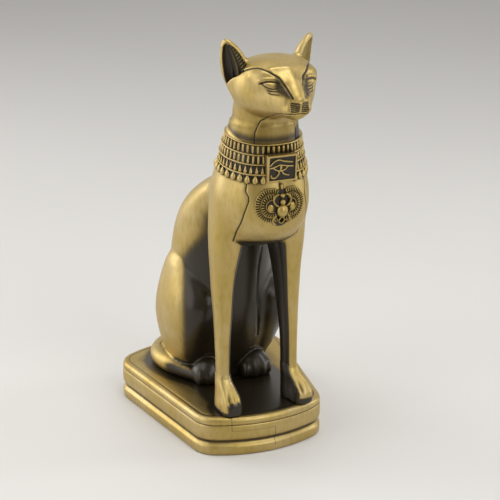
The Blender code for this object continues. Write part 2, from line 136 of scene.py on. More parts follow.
def strand(p, points):
    """Round bar through points of x, y, z and radius."""
    whole = None
    for start, end in zip(points, points[1:]):
        start, end = np.array(start, float), np.array(end, float)
        along = end - start
        t = np.clip(sum((q - s) * a for q, s, a in zip(p, start, along)) / (along[:3] @ along[:3]), 0, 1)
        away = np.sqrt(sum((q - s - t * a) ** 2 for q, s, a in zip(p, start, along)))
        bar = away - (start[3] + t * along[3])
        whole = bar if whole is None else np.minimum(whole, bar)
    return whole


def smooth_path(points, steps):
    """Places at even steps along a smooth curve through points."""
    rows = np.column_stack([np.arange(len(points)), np.array(points, float)])
    t = np.linspace(0, len(points) - 1, steps)
    return np.stack([curve(t, rows, column) for column in range(1, rows.shape[1])], 1)


def post(p, rows, square, turn):
    """Upright limb: rows of height, centre across, centre along, half width and half depth."""
    x, y, z = p
    across, along, half_width, half_depth = (curve(z, rows, column) for column in (1, 2, 3, 4))
    u, v = turned(x - across, y - along, turn)
    return np.maximum(oval(u, v, half_width, half_depth, square), ends(z, rows))


def foreleg(p):
    """A slim squarish leg that widens into the shoulder."""
    rows = [(-6, 16, -35, 3.6, 5.5), (2, 16, -35, 3.5, 5.2), (8, 15.8, -34.5, 3.3, 4.6),
            (14, 15.6, -33.8, 3, 4.2), (22, 15.6, -33.4, 3, 4.2), (32, 15.5, -33, 3.3, 4.6),
            (42, 15.2, -32.5, 3.9, 5.3), (52, 15, -31.8, 4.6, 6.3), (62, 14.5, -31.5, 5.4, 7.6),
            (72, 13.8, -31.8, 6.6, 9.2), (80, 13.1, -32, 7.4, 10.5), (90, 11.9, -32.5, 8.2, 12),
            (100, 10.4, -33, 8.8, 13), (108, 9, -33.5, 8, 12)]
    return post(p, rows, 2.5, 9)


def foot(p, centre, turn, size, toe_height):
    """Paw of half width, half length and height, with four toes in front."""
    x, y, z = p
    u, v = turned(x - centre[0], y - centre[1], turn)
    q = (u, v, z)
    wide, long, high = size
    pad = ball(q, (0, 0, high * 0.36), (wide, long, high * 0.66), -22)
    toes = None
    for side, back in ((-0.72, 0.12), (-0.25, 0.0), (0.25, 0.0), (0.72, 0.12)):
        at = (side * wide, -long * (0.66 - back), toe_height * 0.46)
        toe = ball(q, at, (wide * 0.3, long * 0.42, toe_height * 0.62))
        toes = toe if toes is None else fuse(toes, toe, 1.8)
    return fuse(pad, toes, 2.4)


PAW_SWAY = 1.6
PAW_ACROSS = 16.4
PAW_ALONG = -38.9
PAW_TURN = 6


def paw_across(p):
    """Place across a forepaw, mirrored: both paws stand a little to the cat's left of their legs."""
    x, _, z = p
    return np.abs(x) - PAW_SWAY * np.sign(x) * ramp(-z, -14, -6)


def forepaw(p):
    """A wedge: a blunt upright front, and a top that slopes up to the ankle."""
    rows = [(height, PAW_ACROSS, PAW_ALONG, 4.8, 7.3) for height in (-6, 0, 3)]
    rows += [(5.2, 16.4, -38.7, 4.6, 7.1), (6.6, 16.3, -38.2, 4.4, 6.6), (8.6, 16.1, -37.2, 4, 5.6),
             (11, 15.9, -35.8, 3.6, 4.7), (14.5, 15.6, -34, 2.6, 3.4)]
    return post((paw_across(p), p[1], p[2]), rows, 3, PAW_TURN)


def thigh(p):
    """Rows of height, front, back, centre across and half width."""
    x, y, z = p
    rows = [(-6, 2, 22, 13.5, 7), (0, 0, 23, 13.5, 7.5), (6, -2.5, 25, 14, 8.6), (12, -6, 27, 14.8, 10.2),
            (20, -10.5, 29, 15.6, 11.4), (28, -15, 29.8, 16.1, 12), (34, -17.2, 29, 16, 11.9),
            (39, -17.6, 27.6, 15.8, 11.6), (43, -16.2, 26.2, 15.5, 11.2), (47, -13.2, 24.4, 15.2, 10.7),
            (51, -9.6, 21.8, 15, 10.1), (55, -5.6, 18.2, 15, 9.2), (58, -2.2, 14.6, 14.8, 7.6),
            (60.5, 1.4, 9, 14, 3.2)]
    front, back, across, half = (curve(z, rows, column) for column in (1, 2, 3, 4))
    side = oval(x - across, y - (front + back) / 2, half, (back - front) / 2, 2.3)
    return np.maximum(side, ends(z, rows))


def tail(p):
    """Points of x, y, z and radius, from under the rump round the cat's right side."""
    points = [(0, 37, 5, 4.2), (-8, 36.8, 4.2, 4.1), (-15.3, 34.6, 3.7, 4), (-20.8, 29.8, 3.6, 4),
              (-24.1, 22.8, 3.7, 4.1), (-24.6, 15, 3.8, 4.1), (-22.9, 7.5, 3.8, 4), (-20.2, 1.2, 3.6, 3.7),
              (-17.4, -3.9, 3.3, 3.3), (-15.6, -6.8, 3, 2.9)]
    return strand(p, smooth_path(points, 28))


def limbs(p):
    """Everything below the collar, mirrored except for the tail."""
    x, y, z = p
    mirrored = (np.abs(x), y, z)
    whole = fuse(trunk(p), foreleg(mirrored), 3.0)
    whole = fuse(whole, forepaw(p), 1.5)
    whole = fuse(whole, thigh(mirrored), 1.4 + 4 * ramp(-mirrored[0], -15, -9))
    whole = fuse(whole, foot(mirrored, (10.6, -3), 4, (7.4, 9.6, 11.5), 6.5), 0.8)
    whole = fuse(whole, tail(p), 1.0)
    return np.maximum(whole, -z)


# The head
# A broad wedge with a raised brow, almond eyes and a short muzzle, and two open pointed ears. It is
# cast with the neck. The collar hides the join in this model between head and body.

def skull(p):
    """Rows along the head, from the nose back: place, underside, top and half width."""
    x, y, z = p
    rows = [(-74, 138.8, 141.2, 0.6), (-73.2, 137, 142.8, 3), (-71.5, 135.6, 144.8, 5.2),
            (-68.5, 135.2, 147.4, 7.5), (-64.5, 134.3, 151, 10.1), (-61.5, 133.4, 153.6, 12),
            (-58, 132.9, 154.7, 13.9), (-51, 131.8, 155.9, 15.9), (-46, 131.6, 155.9, 16),
            (-41, 132.6, 154.6, 15.2), (-36, 135, 151.6, 12.6), (-32.5, 138, 148.4, 8.6),
            (-30.6, 141.4, 145.4, 3.5)]
    low, high, half = (curve(y, rows, column) for column in (1, 2, 3))
    head = np.maximum(oval(x, z - (low + high) / 2, half, (high - low) / 2, 2.35), ends(y, rows))
    brow = ball(p, (7, -56, 149.6), (7, 8, 4.6), 20, 12)
    bridge = strand(p, [(0, -62, 149.4, 2.8), (0, -66, 147.6, 2.6), (0, -71.4, 142.6, 2)])
    pad = ball(p, (2.6, -70.2, 138.6), (3.1, 3.5, 2.5), 0, 15)
    chin = ball(p, (0, -68, 136), (3.4, 4, 1.9))
    for mass, soft in ((brow, 3.0), (bridge, 3.0), (pad, 1.2), (chin, 1.5)):
        head = fuse(head, mass, soft)
    return carve(head, ball(p, (8.4, -69.6, 147), (4.2, 4, 2.4), 0, -35), 2.5)


EAR_HOLLOW = [(141, 14.9, -47.4, 4.2, 3), (146, 14.9, -47, 5.6, 3.5), (150, 15.2, -46.7, 5.5, 3.3),
              (154, 16.2, -46, 4.6, 2.8), (157.5, 17.2, -45.2, 3.1, 2.1), (160, 18.1, -44.8, 1.4, 1.1),
              (160.8, 18.4, -44.7, 0.3, 0.3)]
EAR_TURN = 43


def ear(p):
    """A pointed shell, open to the front and side."""
    outer = [(139, 12, -44, 2.6, 2.6), (142, 12.4, -43.8, 4.6, 3.7), (146, 12.9, -43.6, 6.1, 4.2),
             (150, 13.9, -43.4, 6.2, 3.8), (154, 15, -43.3, 5.6, 3.2), (157.5, 16.1, -43.4, 4.4, 2.6),
             (160.6, 17.4, -43.6, 2.6, 1.7), (161.8, 17.9, -43.6, 1.5, 1), (162.4, 18.1, -43.6, 0.4, 0.3)]
    return post(p, outer, 2, EAR_TURN)


def over_ledge(p):
    """Height over the ledge inside the ear, which runs on into the line round the mask."""
    return 0.61 * (p[1] + 42) + 0.79 * (p[2] - 144)


def ear_hollow(p):
    """The open cup of the ear, floored by the ledge."""
    return np.maximum(post(p, EAR_HOLLOW, 2, EAR_TURN + 1), -over_ledge(p))


def head(p):
    """Skull and ears of one half, cupped."""
    return carve(fuse(skull(p), ear(p), 2.6), ear_hollow(p), 0.7)


def figure(p):
    """The whole casting without its collar and jewels."""
    x, y, z = p
    mirrored = (np.abs(x), y, z)
    return fuse(limbs(p), head(mirrored), 3.0)


# Marks cut and raised in the casting
# The mould gives each eye its lids, cuts a line round the mask, hatches the muzzle and ribs the ears.
# A seam runs down each side from the jaw, and the haunches and toes have creases.

def away_from(p, path):
    """Distance from a line through points, in space."""
    return strand(p, [(*point, 0) for point in path])


MASK_EDGE = [(15.8, -46, 147.8), (14.8, -50.5, 150.8), (13.3, -54.8, 152.3), (10.7, -57.6, 152.6),
             (8.8, -60.8, 152.4), (7.1, -63.1, 151.3), (4.9, -64.3, 149.6), (3.9, -66.2, 148.1),
             (3.3, -68.6, 146.2), (2.8, -71.4, 144.2), (2.7, -72.6, 143.4)]
BROW_ROLL = [(14, -57, 149.6), (10.7, -60.1, 151.2), (7.8, -62.2, 151.2), (6, -64.4, 149.8),
             (4.8, -66.6, 148)]
FOREHEAD_EDGE = [(0, -62.3, 153.1), (3.9, -61.8, 153.1), (7, -61.2, 152.7)]
EYE_CENTRE = (8.8, -64.9, 147.5)
UPPER_LID = [(12.2, -62.4, 147.8), (11.8, -62.9, 148.1), (10.3, -64.3, 149), (8.5, -65.3, 149.1),
             (6.9, -65.9, 148.7), (5.5, -66.2, 147.8)]
LOWER_LID = [(11.8, -62.9, 148.1), (10.2, -64.2, 146.7), (8, -65.3, 146), (5.9, -66.3, 146.4)]
EYE_FOLDS = [([(9.8, -64.5, 145.6), (8.8, -65.2, 145.2), (7.3, -66.1, 145.1), (5.9, -67.2, 145.2)], 0.8),
             ([(9.3, -64.9, 144.5), (8.7, -65.9, 144.2), (7.4, -67.1, 144.1), (6.4, -68.2, 144.2)], 0.7)]
EYE_SHADE = [(6.6, -64.6, 150.2, 0.1), (5.8, -65.6, 148.6, 0.9), (5.9, -66.6, 147, 1.5),
             (5.2, -68.4, 145.6, 1.4), (4.2, -70.8, 144.3, 0.9), (3.2, -72.4, 143.4, 0.2)]
MASK_SIDE = [(143.4, 2.7), (146.2, 3.3), (148.1, 3.9), (149.6, 4.9), (151.3, 7.1)]
MOUTH = [(0, -73.6, 137.4), (2.4, -73, 137.3), (4, -73, 137.4), (5.3, -71, 137.1), (5.8, -67.2, 136.3),
         (6.1, -64.7, 135.6), (6.3, -61.7, 134.4)]
SEAM = [(6.3, -61.7, 134.4), (5.4, -57.5, 133), (4.8, -53.5, 131.6), (6.5, -51.9, 130.5), (7.6, -51.2, 128.8),
        (8.4, -51, 126.9), (8.9, -50.6, 125), (9.6, -51.4, 121.2), (11, -51.2, 117), (12.7, -51.6, 109),
        (13.2, -51.9, 103.9), (13.5, -52.2, 101.7), (12.6, -53.3, 99.5), (12.9, -53.3, 97.2),
        (13.9, -52, 93), (14.4, -50, 88.4), (14.8, -45.9, 83.1), (14.6, -42.4, 78)]
HAUNCH_CREASE = [(21.6, 4, 60), (22.3, 0.4, 59), (22.2, -2.6, 56.6), (22.1, -7.4, 55.4),
                 (21.3, -15.5, 52.8), (18.9, -20.7, 49.8), (15.5, -22.5, 46)]
BELLY_CREASE = [(9.1, -18.6, 64.4), (8.2, -18.9, 59.9), (7.4, -19.1, 54), (7.2, -18.2, 42.5),
                (8.4, -15.7, 31.5), (10, -11.5, 21)]
HOCK = [(2, -8.1, 8.5), (3.7, -9.9, 12), (7.3, -9.6, 13.6), (11.5, -7.4, 13.2), (15.1, -4.9, 10.6)]


def line(p, path, width):
    """1 on a line through points, fading out over its width."""
    return np.exp(-(away_from(p, path) / width) ** 2)


SEAM_WIDTH = 0.32
MASK_LINE_WIDTH = 0.42
HATCH_PITCH = 0.72
EAR_STROKE_PITCH = 1.25


def eye_marks(p):
    """The lids, the ball and the folds of one eye: its relief, and where dark lacquer stays."""
    x, y, z = p
    eyeball = np.exp(-((x - EYE_CENTRE[0]) / 2.3) ** 2 - ((z - EYE_CENTRE[2]) / 1.0) ** 2) * (y < -58)
    ridge = line((x, y - 0.4, z - 1.0), UPPER_LID, 0.5)
    upper, lower = line(p, UPPER_LID, 0.36), line(p, LOWER_LID, 0.3)
    folds = sum(share * line(p, path, 0.34) for path, share in EYE_FOLDS)
    height = 0.5 * eyeball + 0.4 * ridge - 0.4 * upper - 0.3 * lower - 0.3 * folds
    return height, upper + 0.75 * lower + folds


def face_marks(p):
    """The line round the mask, the mouth, the hatched muzzle and the brow, with the eyes."""
    x, y, z = p
    height, dark = eye_marks(p)
    mask_line = line(p, MASK_EDGE, MASK_LINE_WIDTH)
    mouth = line(p, MOUTH, SEAM_WIDTH)
    lip = line(p, [(0, -74, 142.4), (2.6, -72.9, 142.6), (3.4, -72, 142.2)], 0.3)
    square = np.hypot(np.maximum(np.abs(x - 2.25) - 1.0, 0), np.maximum(np.abs(z - 139.9) - 1.3, 0))
    patch = ramp(-square, -0.95, -0.6) * (y < -68)
    hatch = 0.5 - 0.5 * np.cos(2 * np.pi * (z + 0.15 * x) / HATCH_PITCH)
    frown = line(p, [(1.7, -64.6, 151.6), (1.1, -66.4, 150), (0.7, -67.8, 148.6)], 0.4)
    height = (height - 0.6 * mask_line + 0.42 * line(p, BROW_ROLL, 1.3) - 0.42 * mouth - 0.2 * lip
              - patch * (0.1 + 0.3 * hatch) - 0.1 * frown + 0.4 * line(p, FOREHEAD_EDGE, 1.1))
    outside_mask = ramp(x - curve(z, MASK_SIDE, 1), -0.1, 0.4)
    shade = 0.68 * ramp(-strand(p, EYE_SHADE), -2.4, 1.2) * outside_mask
    dark = dark + mask_line + 0.9 * mouth + 0.45 * lip + patch * (0.35 + 0.65 * hatch) + 0.3 * frown
    return height, np.maximum(dark, shade)


def ear_marks(p):
    """Ribs and short strokes inside the ear."""
    x, y, z = p
    across, along, half, depth = (curve(z, EAR_HOLLOW, column) for column in (1, 2, 3, 4))
    u, v = turned(x - across, y - along, EAR_TURN + 1)
    inside = (ramp(-np.hypot(u / half, v / depth), -1.12, -1.0) * ramp(over_ledge(p), -0.5, 0.4)
              * (v > -depth * 0.3) * ramp(-z, -160.6, -160))
    rib = np.exp(-((u / half - 0.1) / 0.16) ** 2) + 0.6 * np.exp(-((u / half - 0.5) / 0.08) ** 2)
    stroke = np.clip(np.cos(2 * np.pi * (z + 0.7 * u) / EAR_STROKE_PITCH), 0, 1) * ramp(-u / half, 0.1, 0.25)
    stroke = stroke * ramp(u / half, -1.05, -0.9)
    height = inside * (0.42 * rib + 0.3 * stroke * ramp(z, 145, 147) * ramp(-z, -157, -155))
    return height, inside * np.clip(1.0 - 0.5 * rib - 0.8 * stroke, 0.2, 1)


def body_marks(p):
    """The seam, the creases of haunch and belly, the hock, strokes of fur and the gaps between toes."""
    x, y, z = p
    seam, haunch = line(p, SEAM, SEAM_WIDTH), line(p, HAUNCH_CREASE, 0.55)
    belly, hock = line(p, BELLY_CREASE, 0.5), line(p, HOCK, 0.35)
    fur = sum(line(p, [(low, -21.5, 66.5), (low + 1.6, -22, 70.5)], 0.3) for low in 3.2 + 1.9 * np.arange(5))
    toe_across, toe_along = turned(x - PAW_ACROSS, y - PAW_ALONG, PAW_TURN)
    toe_gap = 0
    for gap, wide, share in ((-2.6, 0.45, 0.6), (0, 0.8, 1.0), (2.6, 0.45, 0.6)):
        toe_gap = toe_gap + share * np.exp(-((toe_across - gap * (1 - 0.04 * toe_along) * 0.8) / wide) ** 2)
    toe_gap = toe_gap * ramp(-toe_along, 1.0, 5) * ramp(-z, -14, -10) * ramp(z, 2, 6.5)
    height = -0.4 * seam - 0.35 * haunch - 0.5 * belly + 0.4 * hock + 0.35 * fur - 0.5 * toe_gap
    return height, seam + 0.5 * haunch + 0.9 * belly + 0.6 * toe_gap


def marks(p):
    """Height of all relief on the casting, and how dark the lacquer lies in it."""
    mirrored = (np.abs(p[0]), p[1], p[2])
    height, dark = np.zeros(len(p[0])), np.zeros(len(p[0]))
    for zone, part in ((p[2] > 128, face_marks), (p[2] > 141, ear_marks), (p[2] < 136, body_marks)):
        some = part(tuple(q[zone] for q in mirrored))
        height[zone] += some[0]
        dark[zone] += some[1]
    return height, np.clip(dark, 0, 1)


# The casting's skin
# The plated surface: bright brass where hands and polish reach, and a thin dark brown lacquer that stays
# in hollows and cut lines. The same dark colour is also laid on as painted shade: between the legs, on the
# insides of the forelegs, under the chest, on the neck above the collar, on the toes' front faces, on the
# hind paws and on the parts behind the forelegs that face forward.

CORNERS = np.array([(i, j, k) for i in (0, 1) for j in (0, 1) for k in (0, 1)])
SIDES = [[n for n in range(8) if CORNERS[n][axis] == side] for axis in range(3) for side in (0, 1)]


def corners(grid):
    """The eight arrays that hold each cell's corners."""
    return [grid[tuple(slice(i, n - 1 + i) for i, n in zip(corner, grid.shape))] for corner in CORNERS]


def fill_pinches(value):
    """Fill the grid points where parts of the mass would meet only along an edge or at a point."""
    found = True
    while found:
        solid = corners(value < 0)
        filled = np.zeros(value.shape, bool)
        for group, apart in [(side, 2) for side in SIDES] + [(range(8), 3)]:
            inside = sum(solid[i].astype(int) for i in group)
            for a, b in ((a, b) for a in group for b in group if (CORNERS[a] != CORNERS[b]).sum() == apart):
                pinched = (solid[a] == solid[b]) & (inside == np.where(solid[a], 2, len(group) - 2))
                for view in corners(filled):
                    view |= pinched
        filled &= value >= 0
        value[filled] = -0.02
        found = filled.any()
    return value


def skin(field, low, high, step):
    """Closed quad mesh of the surface of a mass: one vertex in each cell that the surface crosses."""
    count = [int(math.ceil((b - a) / step)) + 1 for a, b in zip(low, high)]
    axes = [a + step * np.arange(n) for a, n in zip(low, count)]
    value = np.stack([field(np.meshgrid(axes[0], axes[1], height, indexing="ij")) for height in axes[2]], 2)
    value = fill_pinches(value.reshape(count))
    solid = value < 0
    shifted = corners(solid)
    crossed = np.logical_or.reduce(shifted) & ~np.logical_and.reduce(shifted)
    cell = np.argwhere(crossed)
    number = np.full(crossed.shape, -1)
    number[crossed] = np.arange(len(cell))
    at = np.stack([value[tuple((cell + corner).T)] for corner in CORNERS], 1)
    total, hits = np.zeros((len(cell), 3)), np.zeros((len(cell), 1))
    for a, b in ((a, b) for a in range(8) for b in range(a) if abs(CORNERS[a] - CORNERS[b]).sum() == 1):
        crossing = ((at[:, a] < 0) != (at[:, b] < 0))[:, None]
        share = at[:, a, None] / np.where(crossing, at[:, a, None] - at[:, b, None], 1)
        total += np.where(crossing, CORNERS[a] + share * (CORNERS[b] - CORNERS[a]), 0)
        hits += crossing
    points = np.array(low) + step * (cell + total / hits)
    quads = []
    for axis in range(3):
        u, v = (axis + 1) % 3, (axis + 2) % 3
        near = np.take(solid, range(count[axis] - 1), axis)
        far = np.take(solid, range(1, count[axis]), axis)
        for edges, order in ((near & ~far, (0, 1, 2, 3)), (far & ~near, (3, 2, 1, 0))):
            start = np.argwhere(edges)
            around = []
            for du, dv in ((1, 1), (0, 1), (0, 0), (1, 0)):
                beside = start.copy()
                beside[:, u] -= du
                beside[:, v] -= dv
                around.append(number[tuple(beside.T)])
            quads.append(np.stack([around[i] for i in order], 1))
    return points, np.concatenate(quads)


def slope_of(field, points):
    """Outward direction of a mass at each point."""
    nudge = np.eye(3) * 0.06
    slope = np.stack([field((points + d).T) - field((points - d).T) for d in nudge], 1) / 0.12
    return slope / np.maximum(np.linalg.norm(slope, axis=1, keepdims=True), 0.3)


def settle(field, points, reach):
    """Move the points of a skin onto the surface, along the field's slope."""
    for _ in range(2):
        move = -slope_of(field, points) * field(points.T)[:, None]
        length = np.linalg.norm(move, axis=1, keepdims=True)
        points = points + move * np.minimum(1, reach / np.maximum(length, 1e-9))
    return points, slope_of(field, points)


def pressed(path):
    """A line through points, laid on the casting's surface."""
    return settle(figure, smooth_path(path, 2 * len(path) - 1), 4.0)[0]


SEAM, MASK_EDGE, MOUTH, HOCK = (pressed(path) for path in (SEAM, MASK_EDGE, MOUTH, HOCK))
BELLY_CREASE, FOREHEAD_EDGE = pressed(BELLY_CREASE), pressed(FOREHEAD_EDGE)
UPPER_LID, LOWER_LID = pressed(UPPER_LID), pressed(LOWER_LID)
EYE_FOLDS = [(pressed(path), share) for path, share in EYE_FOLDS]


def finer(points, faces, wanted):
    """The same mesh with the faces that are wanted cut in four, and their neighbours cut to fit."""
    shape = bmesh.new()
    made = [shape.verts.new(point) for point in points.tolist()]
    for face in faces:
        shape.faces.new([made[i] for i in face])
    shape.faces.ensure_lookup_table()
    edges = {edge for face, want in zip(shape.faces, wanted) if want for edge in face.edges}
    bmesh.ops.subdivide_edges(shape, edges=list(edges), cuts=1, use_grid_fill=True)
    bmesh.ops.triangulate(shape, faces=[face for face in shape.faces if len(face.verts) > 4])
    shape.verts.index_update()
    new_points = np.array([vertex.co for vertex in shape.verts])
    faces = [[vertex.index for vertex in face.verts] for face in shape.faces]
    shape.free()
    return new_points, faces


def shelter(points, normals):
    """How far the surroundings close over each point, from 0 in the open to 1 in a deep hollow."""
    _, y, z = points.T
    closed = 0
    for reach, share in ((2.5, 0.3), (7.0, 0.35), (16.0, 0.35)):
        probe = (points + normals * reach).T
        free = np.minimum(figure(probe), probe[2] + 0.3)
        closed = closed + share * np.clip(1 - free / reach, 0, 1)
    under_jaw = ramp(z, 122, 126) * ramp(-y, 48, 50) * (z < 134)
    return closed * (1 - 0.5 * under_jaw)


COLLAR_TOP = 120.7
COLLAR_RISE = 2.0
COLLAR_CORNER = -51.5
HEM_GAP = 14.0
TOE_PITCH = 2.9
JEWEL_GROUNDS = [(4.2, 96.4, 6.15, 7.0), (0, 90.6, 4.0, 3.3), (0, 103.4, 1.0, 2.2)]


def collar_rise(y):
    """How far the collar has risen at a place along the cat."""
    return COLLAR_RISE * np.clip((y - COLLAR_CORNER) / 18, 0, 1.1)


def collar_drop(y, z):
    """Distance below the collar's top line."""
    return COLLAR_TOP + collar_rise(y) - z


def lacquer_and_shade(points, normals, sunk):
    """Dark share of the surface: lacquered hollows and cut lines, and painted shade in the zones named below.
    """
    x, y, z = points.T
    nx, ny, nz = normals.T
    wide = np.abs(x)
    closed = shelter(points, normals)
    # Painted shade behind the forelegs: each haunch darkens past a slanted line towards its inner front, and
    # the flank darkens where it faces forward.
    behind_legs = ramp(y, -27.5, -24.5)
    flank = ramp(z - 59.5 - 0.95 * np.minimum(y, 0), -1, 1)
    haunch_shade = ramp(19.6 - 0.916 * wide - 0.401 * y, -4, 6.5) * ramp(-y, -24, -12)
    edge = 0.2 + 0.45 * ramp(z, 54, 76)
    flank_shade = ramp(-ny - edge, -0.4, 0.4) * ramp(-z, -98, -80)
    rear_shade = behind_legs * (haunch_shade + (flank_shade - haunch_shade) * flank)
    # Painted shade on the belly between the legs, except where it faces up.
    belly = (ramp(-wide, -13.5, -11.5) * behind_legs * ramp(-y, -6, -2) * ramp(-z, -68, -66)
             * ramp(-nz, -0.8, -0.5))
    # The tail keeps out of the haunch's painted shade; its front end gets painted shade, deepest where it
    # faces down.
    on_tail = ramp(-x, 13, 17) * ramp(-z, -9.5, -8.5) * (y > -12)
    rear_shade = rear_shade * (1 - on_tail)
    tail_end_shade = on_tail * (0.5 + 0.35 * ramp(-nz, -0.7, -0.3)) * ramp(-y, -12, -3)
    grounds = [np.hypot((wide - middle) / half, (z - centre) / tall)
               for middle, centre, half, tall in JEWEL_GROUNDS]
    jewel = 0.95 * ramp(-np.minimum.reduce(grounds), -1.1, -0.98) * (y < -48)
    below = collar_drop(y, z)
    hem = 0.8 * ramp(below, 11, 12) * ramp(-below, -17, -14.3) * (1 - (wide < HEM_GAP / 2) * (y < -50))
    # Painted shade on the neck above the collar: a band just over the collar's top, a wider haze higher up,
    # and the far side of the throat.
    throat = (0.4 * ramp(below, -5, -0.2) * ramp(-below, -4, -2)
              + 0.36 * ramp(below, -16, -7) * ramp(-below, 0, 2))
    far_throat_shade = ramp(x, 7, 10) * ramp(below, -9, -2) * ramp(-y, 44, 48)
    throat = np.maximum(throat, far_throat_shade * ramp(-below, -4, -2))
    # Painted shade on the inner sides of the forelegs.
    inner_leg_shade = ramp(-np.sign(x) * nx, 0.45, 0.7) * ramp(-z, -78, -70) * ramp(-y, 24, 26)
    # Painted shade on the front faces of the forepaws' toes: the inner part on the cat's right paw, only the
    # lowest part on its left paw.
    toe = paw_across((x, y, z))
    toe_tops = 5.6 + 0.7 * np.abs(np.sin(math.pi * (toe - PAW_ACROSS) / TOE_PITCH))
    toe_front_shade = ramp(-ny, 0.3, 0.8) * ramp(-y, 39, 42) * ramp(toe_tops - z, -1.2, 1.2)
    toes = 0.85 * toe_front_shade * np.where(x < 0, ramp(-toe, -20.8, -18.6), ramp(-z, -4, -1.6))
    rim_shade = ramp(-nz, 0.35, 0.9) * ramp(-z, -84, -76) * ramp(z, 60, 66)
    # Lacquer in hollows, kept off the open tail; the wider reaches of the shelter also darken between parts,
    # which is painted shade.
    open_tail = 1 - 0.75 * (x < -14) * ramp(y, 0, 8) * ramp(-z, -14, -11)
    hollow_lacquer_and_shade = open_tail * ramp(closed, 0.5, 0.78)
    dark = np.maximum.reduce([rear_shade, inner_leg_shade, toes, rim_shade, hollow_lacquer_and_shade, belly, tail_end_shade, jewel, hem, throat])
    left_ear = 1 - 0.6 * (x > 8) * ramp(z, 143, 146) * (y > -56)
    sunk = sunk * left_ear * (1 - (x > 2) * ramp(z, 119, 121) * ramp(-z, -134, -132.5))
    dark = dark * left_ear
    # Painted shade on the hind paws, under the haunches.
    hind_paw_shade = ramp(-z, -15, -11) * ramp(y, -18, -14) * ramp(-y, -12, -4) * ramp(-wide, -22, -18)
    return np.clip(np.maximum(dark, np.maximum(0.9 * hind_paw_shade, sunk)), 0, 1)


def linked(name, data):
    """A new object in the scene."""
    made = bpy.data.objects.new(name, data)
    bpy.context.collection.objects.link(made)
    return made


def cast_piece(name, points, faces, dark, material):
    """A finished piece of the casting from points in its own millimetres, with its darkness at each:
    lacquered places and painted shade.
    """
    mesh = bpy.data.meshes.new(name)
    mesh.from_pydata(((points + SEAT) / 1000).tolist(), [], [list(face) for face in faces])
    cover = mesh.attributes.new("lacquer_and_shade", "FLOAT", "POINT")
    cover.data.foreach_set("value", np.asarray(dark, np.float32))
    mesh.shade_smooth()
    mesh.materials.append(material)
    piece = linked(name, mesh)
    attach(piece, "root")
    return piece


class Signal:
    """A shader value that adds, multiplies and compares like a number."""

    def __init__(self, tree, socket):
        self.tree, self.socket = tree, socket

    def _with(self, operation, *values):
        made = self.tree.nodes.new("ShaderNodeMath")
        made.operation = operation
        for slot, value in zip(made.inputs, values):
            if isinstance(value, Signal):
                self.tree.links.new(value.socket, slot)
            else:
                slot.default_value = value
        return Signal(self.tree, made.outputs[0])

    def __add__(self, other):
        return self._with("ADD", self, other)

    def __sub__(self, other):
        return self._with("SUBTRACT", self, other)

    def __rsub__(self, other):
        return self._with("SUBTRACT", other, self)

    def __mul__(self, other):
        return self._with("MULTIPLY", self, other)

    def between(self, low, high):
        """0 below low, 1 above high, smooth between."""
        made = self.tree.nodes.new("ShaderNodeMapRange")
        made.interpolation_type = "SMOOTHSTEP"
        self.tree.links.new(self.socket, made.inputs[0])
        made.inputs[1].default_value, made.inputs[2].default_value = low, high
        return Signal(self.tree, made.outputs[0])

    __radd__, __rmul__ = __add__, __mul__


class Tree:
    """A node tree under construction."""

    def __init__(self, tree):
        self.tree = tree

    def node(self, kind, settings=None, **sockets):
        """Outputs of a new node, whose sockets are given by name, or by number as _0."""
        made = self.tree.nodes.new(kind)
        for key, value in (settings or {}).items():
            setattr(made, key, value)
        for key, value in sockets.items():
            self.join(made.inputs[int(key[1:]) if key[1:].isdigit() else key.replace("_", " ")], value)
        return made.outputs

    def join(self, slot, value):
        """Set a socket, or link it to another."""
        value = value.socket if isinstance(value, Signal) else value
        if isinstance(value, bpy.types.NodeSocket):
            self.tree.links.new(value, slot)
        else:
            slot.default_value = value


class Finish(Tree):
    """A material under construction."""

    def __init__(self, name):
        self.material = bpy.data.materials.new(name)
        self.material.use_nodes = True
        super().__init__(self.material.node_tree)
        self.shader = self.tree.nodes["Principled BSDF"]

    def signal(self, socket):
        return Signal(self.tree, socket)

    def grain(self, size, detail=3.0, stretch=(1, 1, 1)):
        """Cloudy variation with lumps of about the size given, in metres."""
        place = self.node("ShaderNodeTexCoord")["Object"]
        mapped = self.node("ShaderNodeMapping", Vector=place, Scale=stretch)[0]
        return self.signal(self.node("ShaderNodeTexNoise", Vector=mapped, Scale=1 / size, Detail=detail)[0])

    def inside(self, socket, low, high):
        """1 between two places in metres, with edges a tenth of a millimetre soft."""
        value, soft = self.signal(socket), 0.0001
        return value.between(low - soft, low + soft) * (1.0 - value.between(high - soft, high + soft))

    def attribute(self, name):
        """The number that a mesh carries under this name."""
        return self.signal(self.node("ShaderNodeAttribute", {"attribute_name": name})["Fac"])

    def blend(self, share, a, b):
        """Colour a where share is 0 and b where it is 1."""
        a, b = ((*value, 1) if isinstance(value, tuple) else value for value in (a, b))
        return self.node("ShaderNodeMix", {"data_type": "RGBA"}, _0=share, _6=a, _7=b)[2]


BRIGHT_BRASS = (0.465, 0.34, 0.11)
PALE_BRASS = (0.53, 0.405, 0.18)
OLIVE_BRASS = (0.37, 0.26, 0.05)
# The dark colours stand for the lacquer and for painted shade alike.
DARK_LACQUER_AND_SHADE = (0.020, 0.013, 0.004)
THIN_LACQUER_AND_SHADE = (0.13, 0.085, 0.018)
FRONT_OF_PLINTH = (-0.06, -0.03)


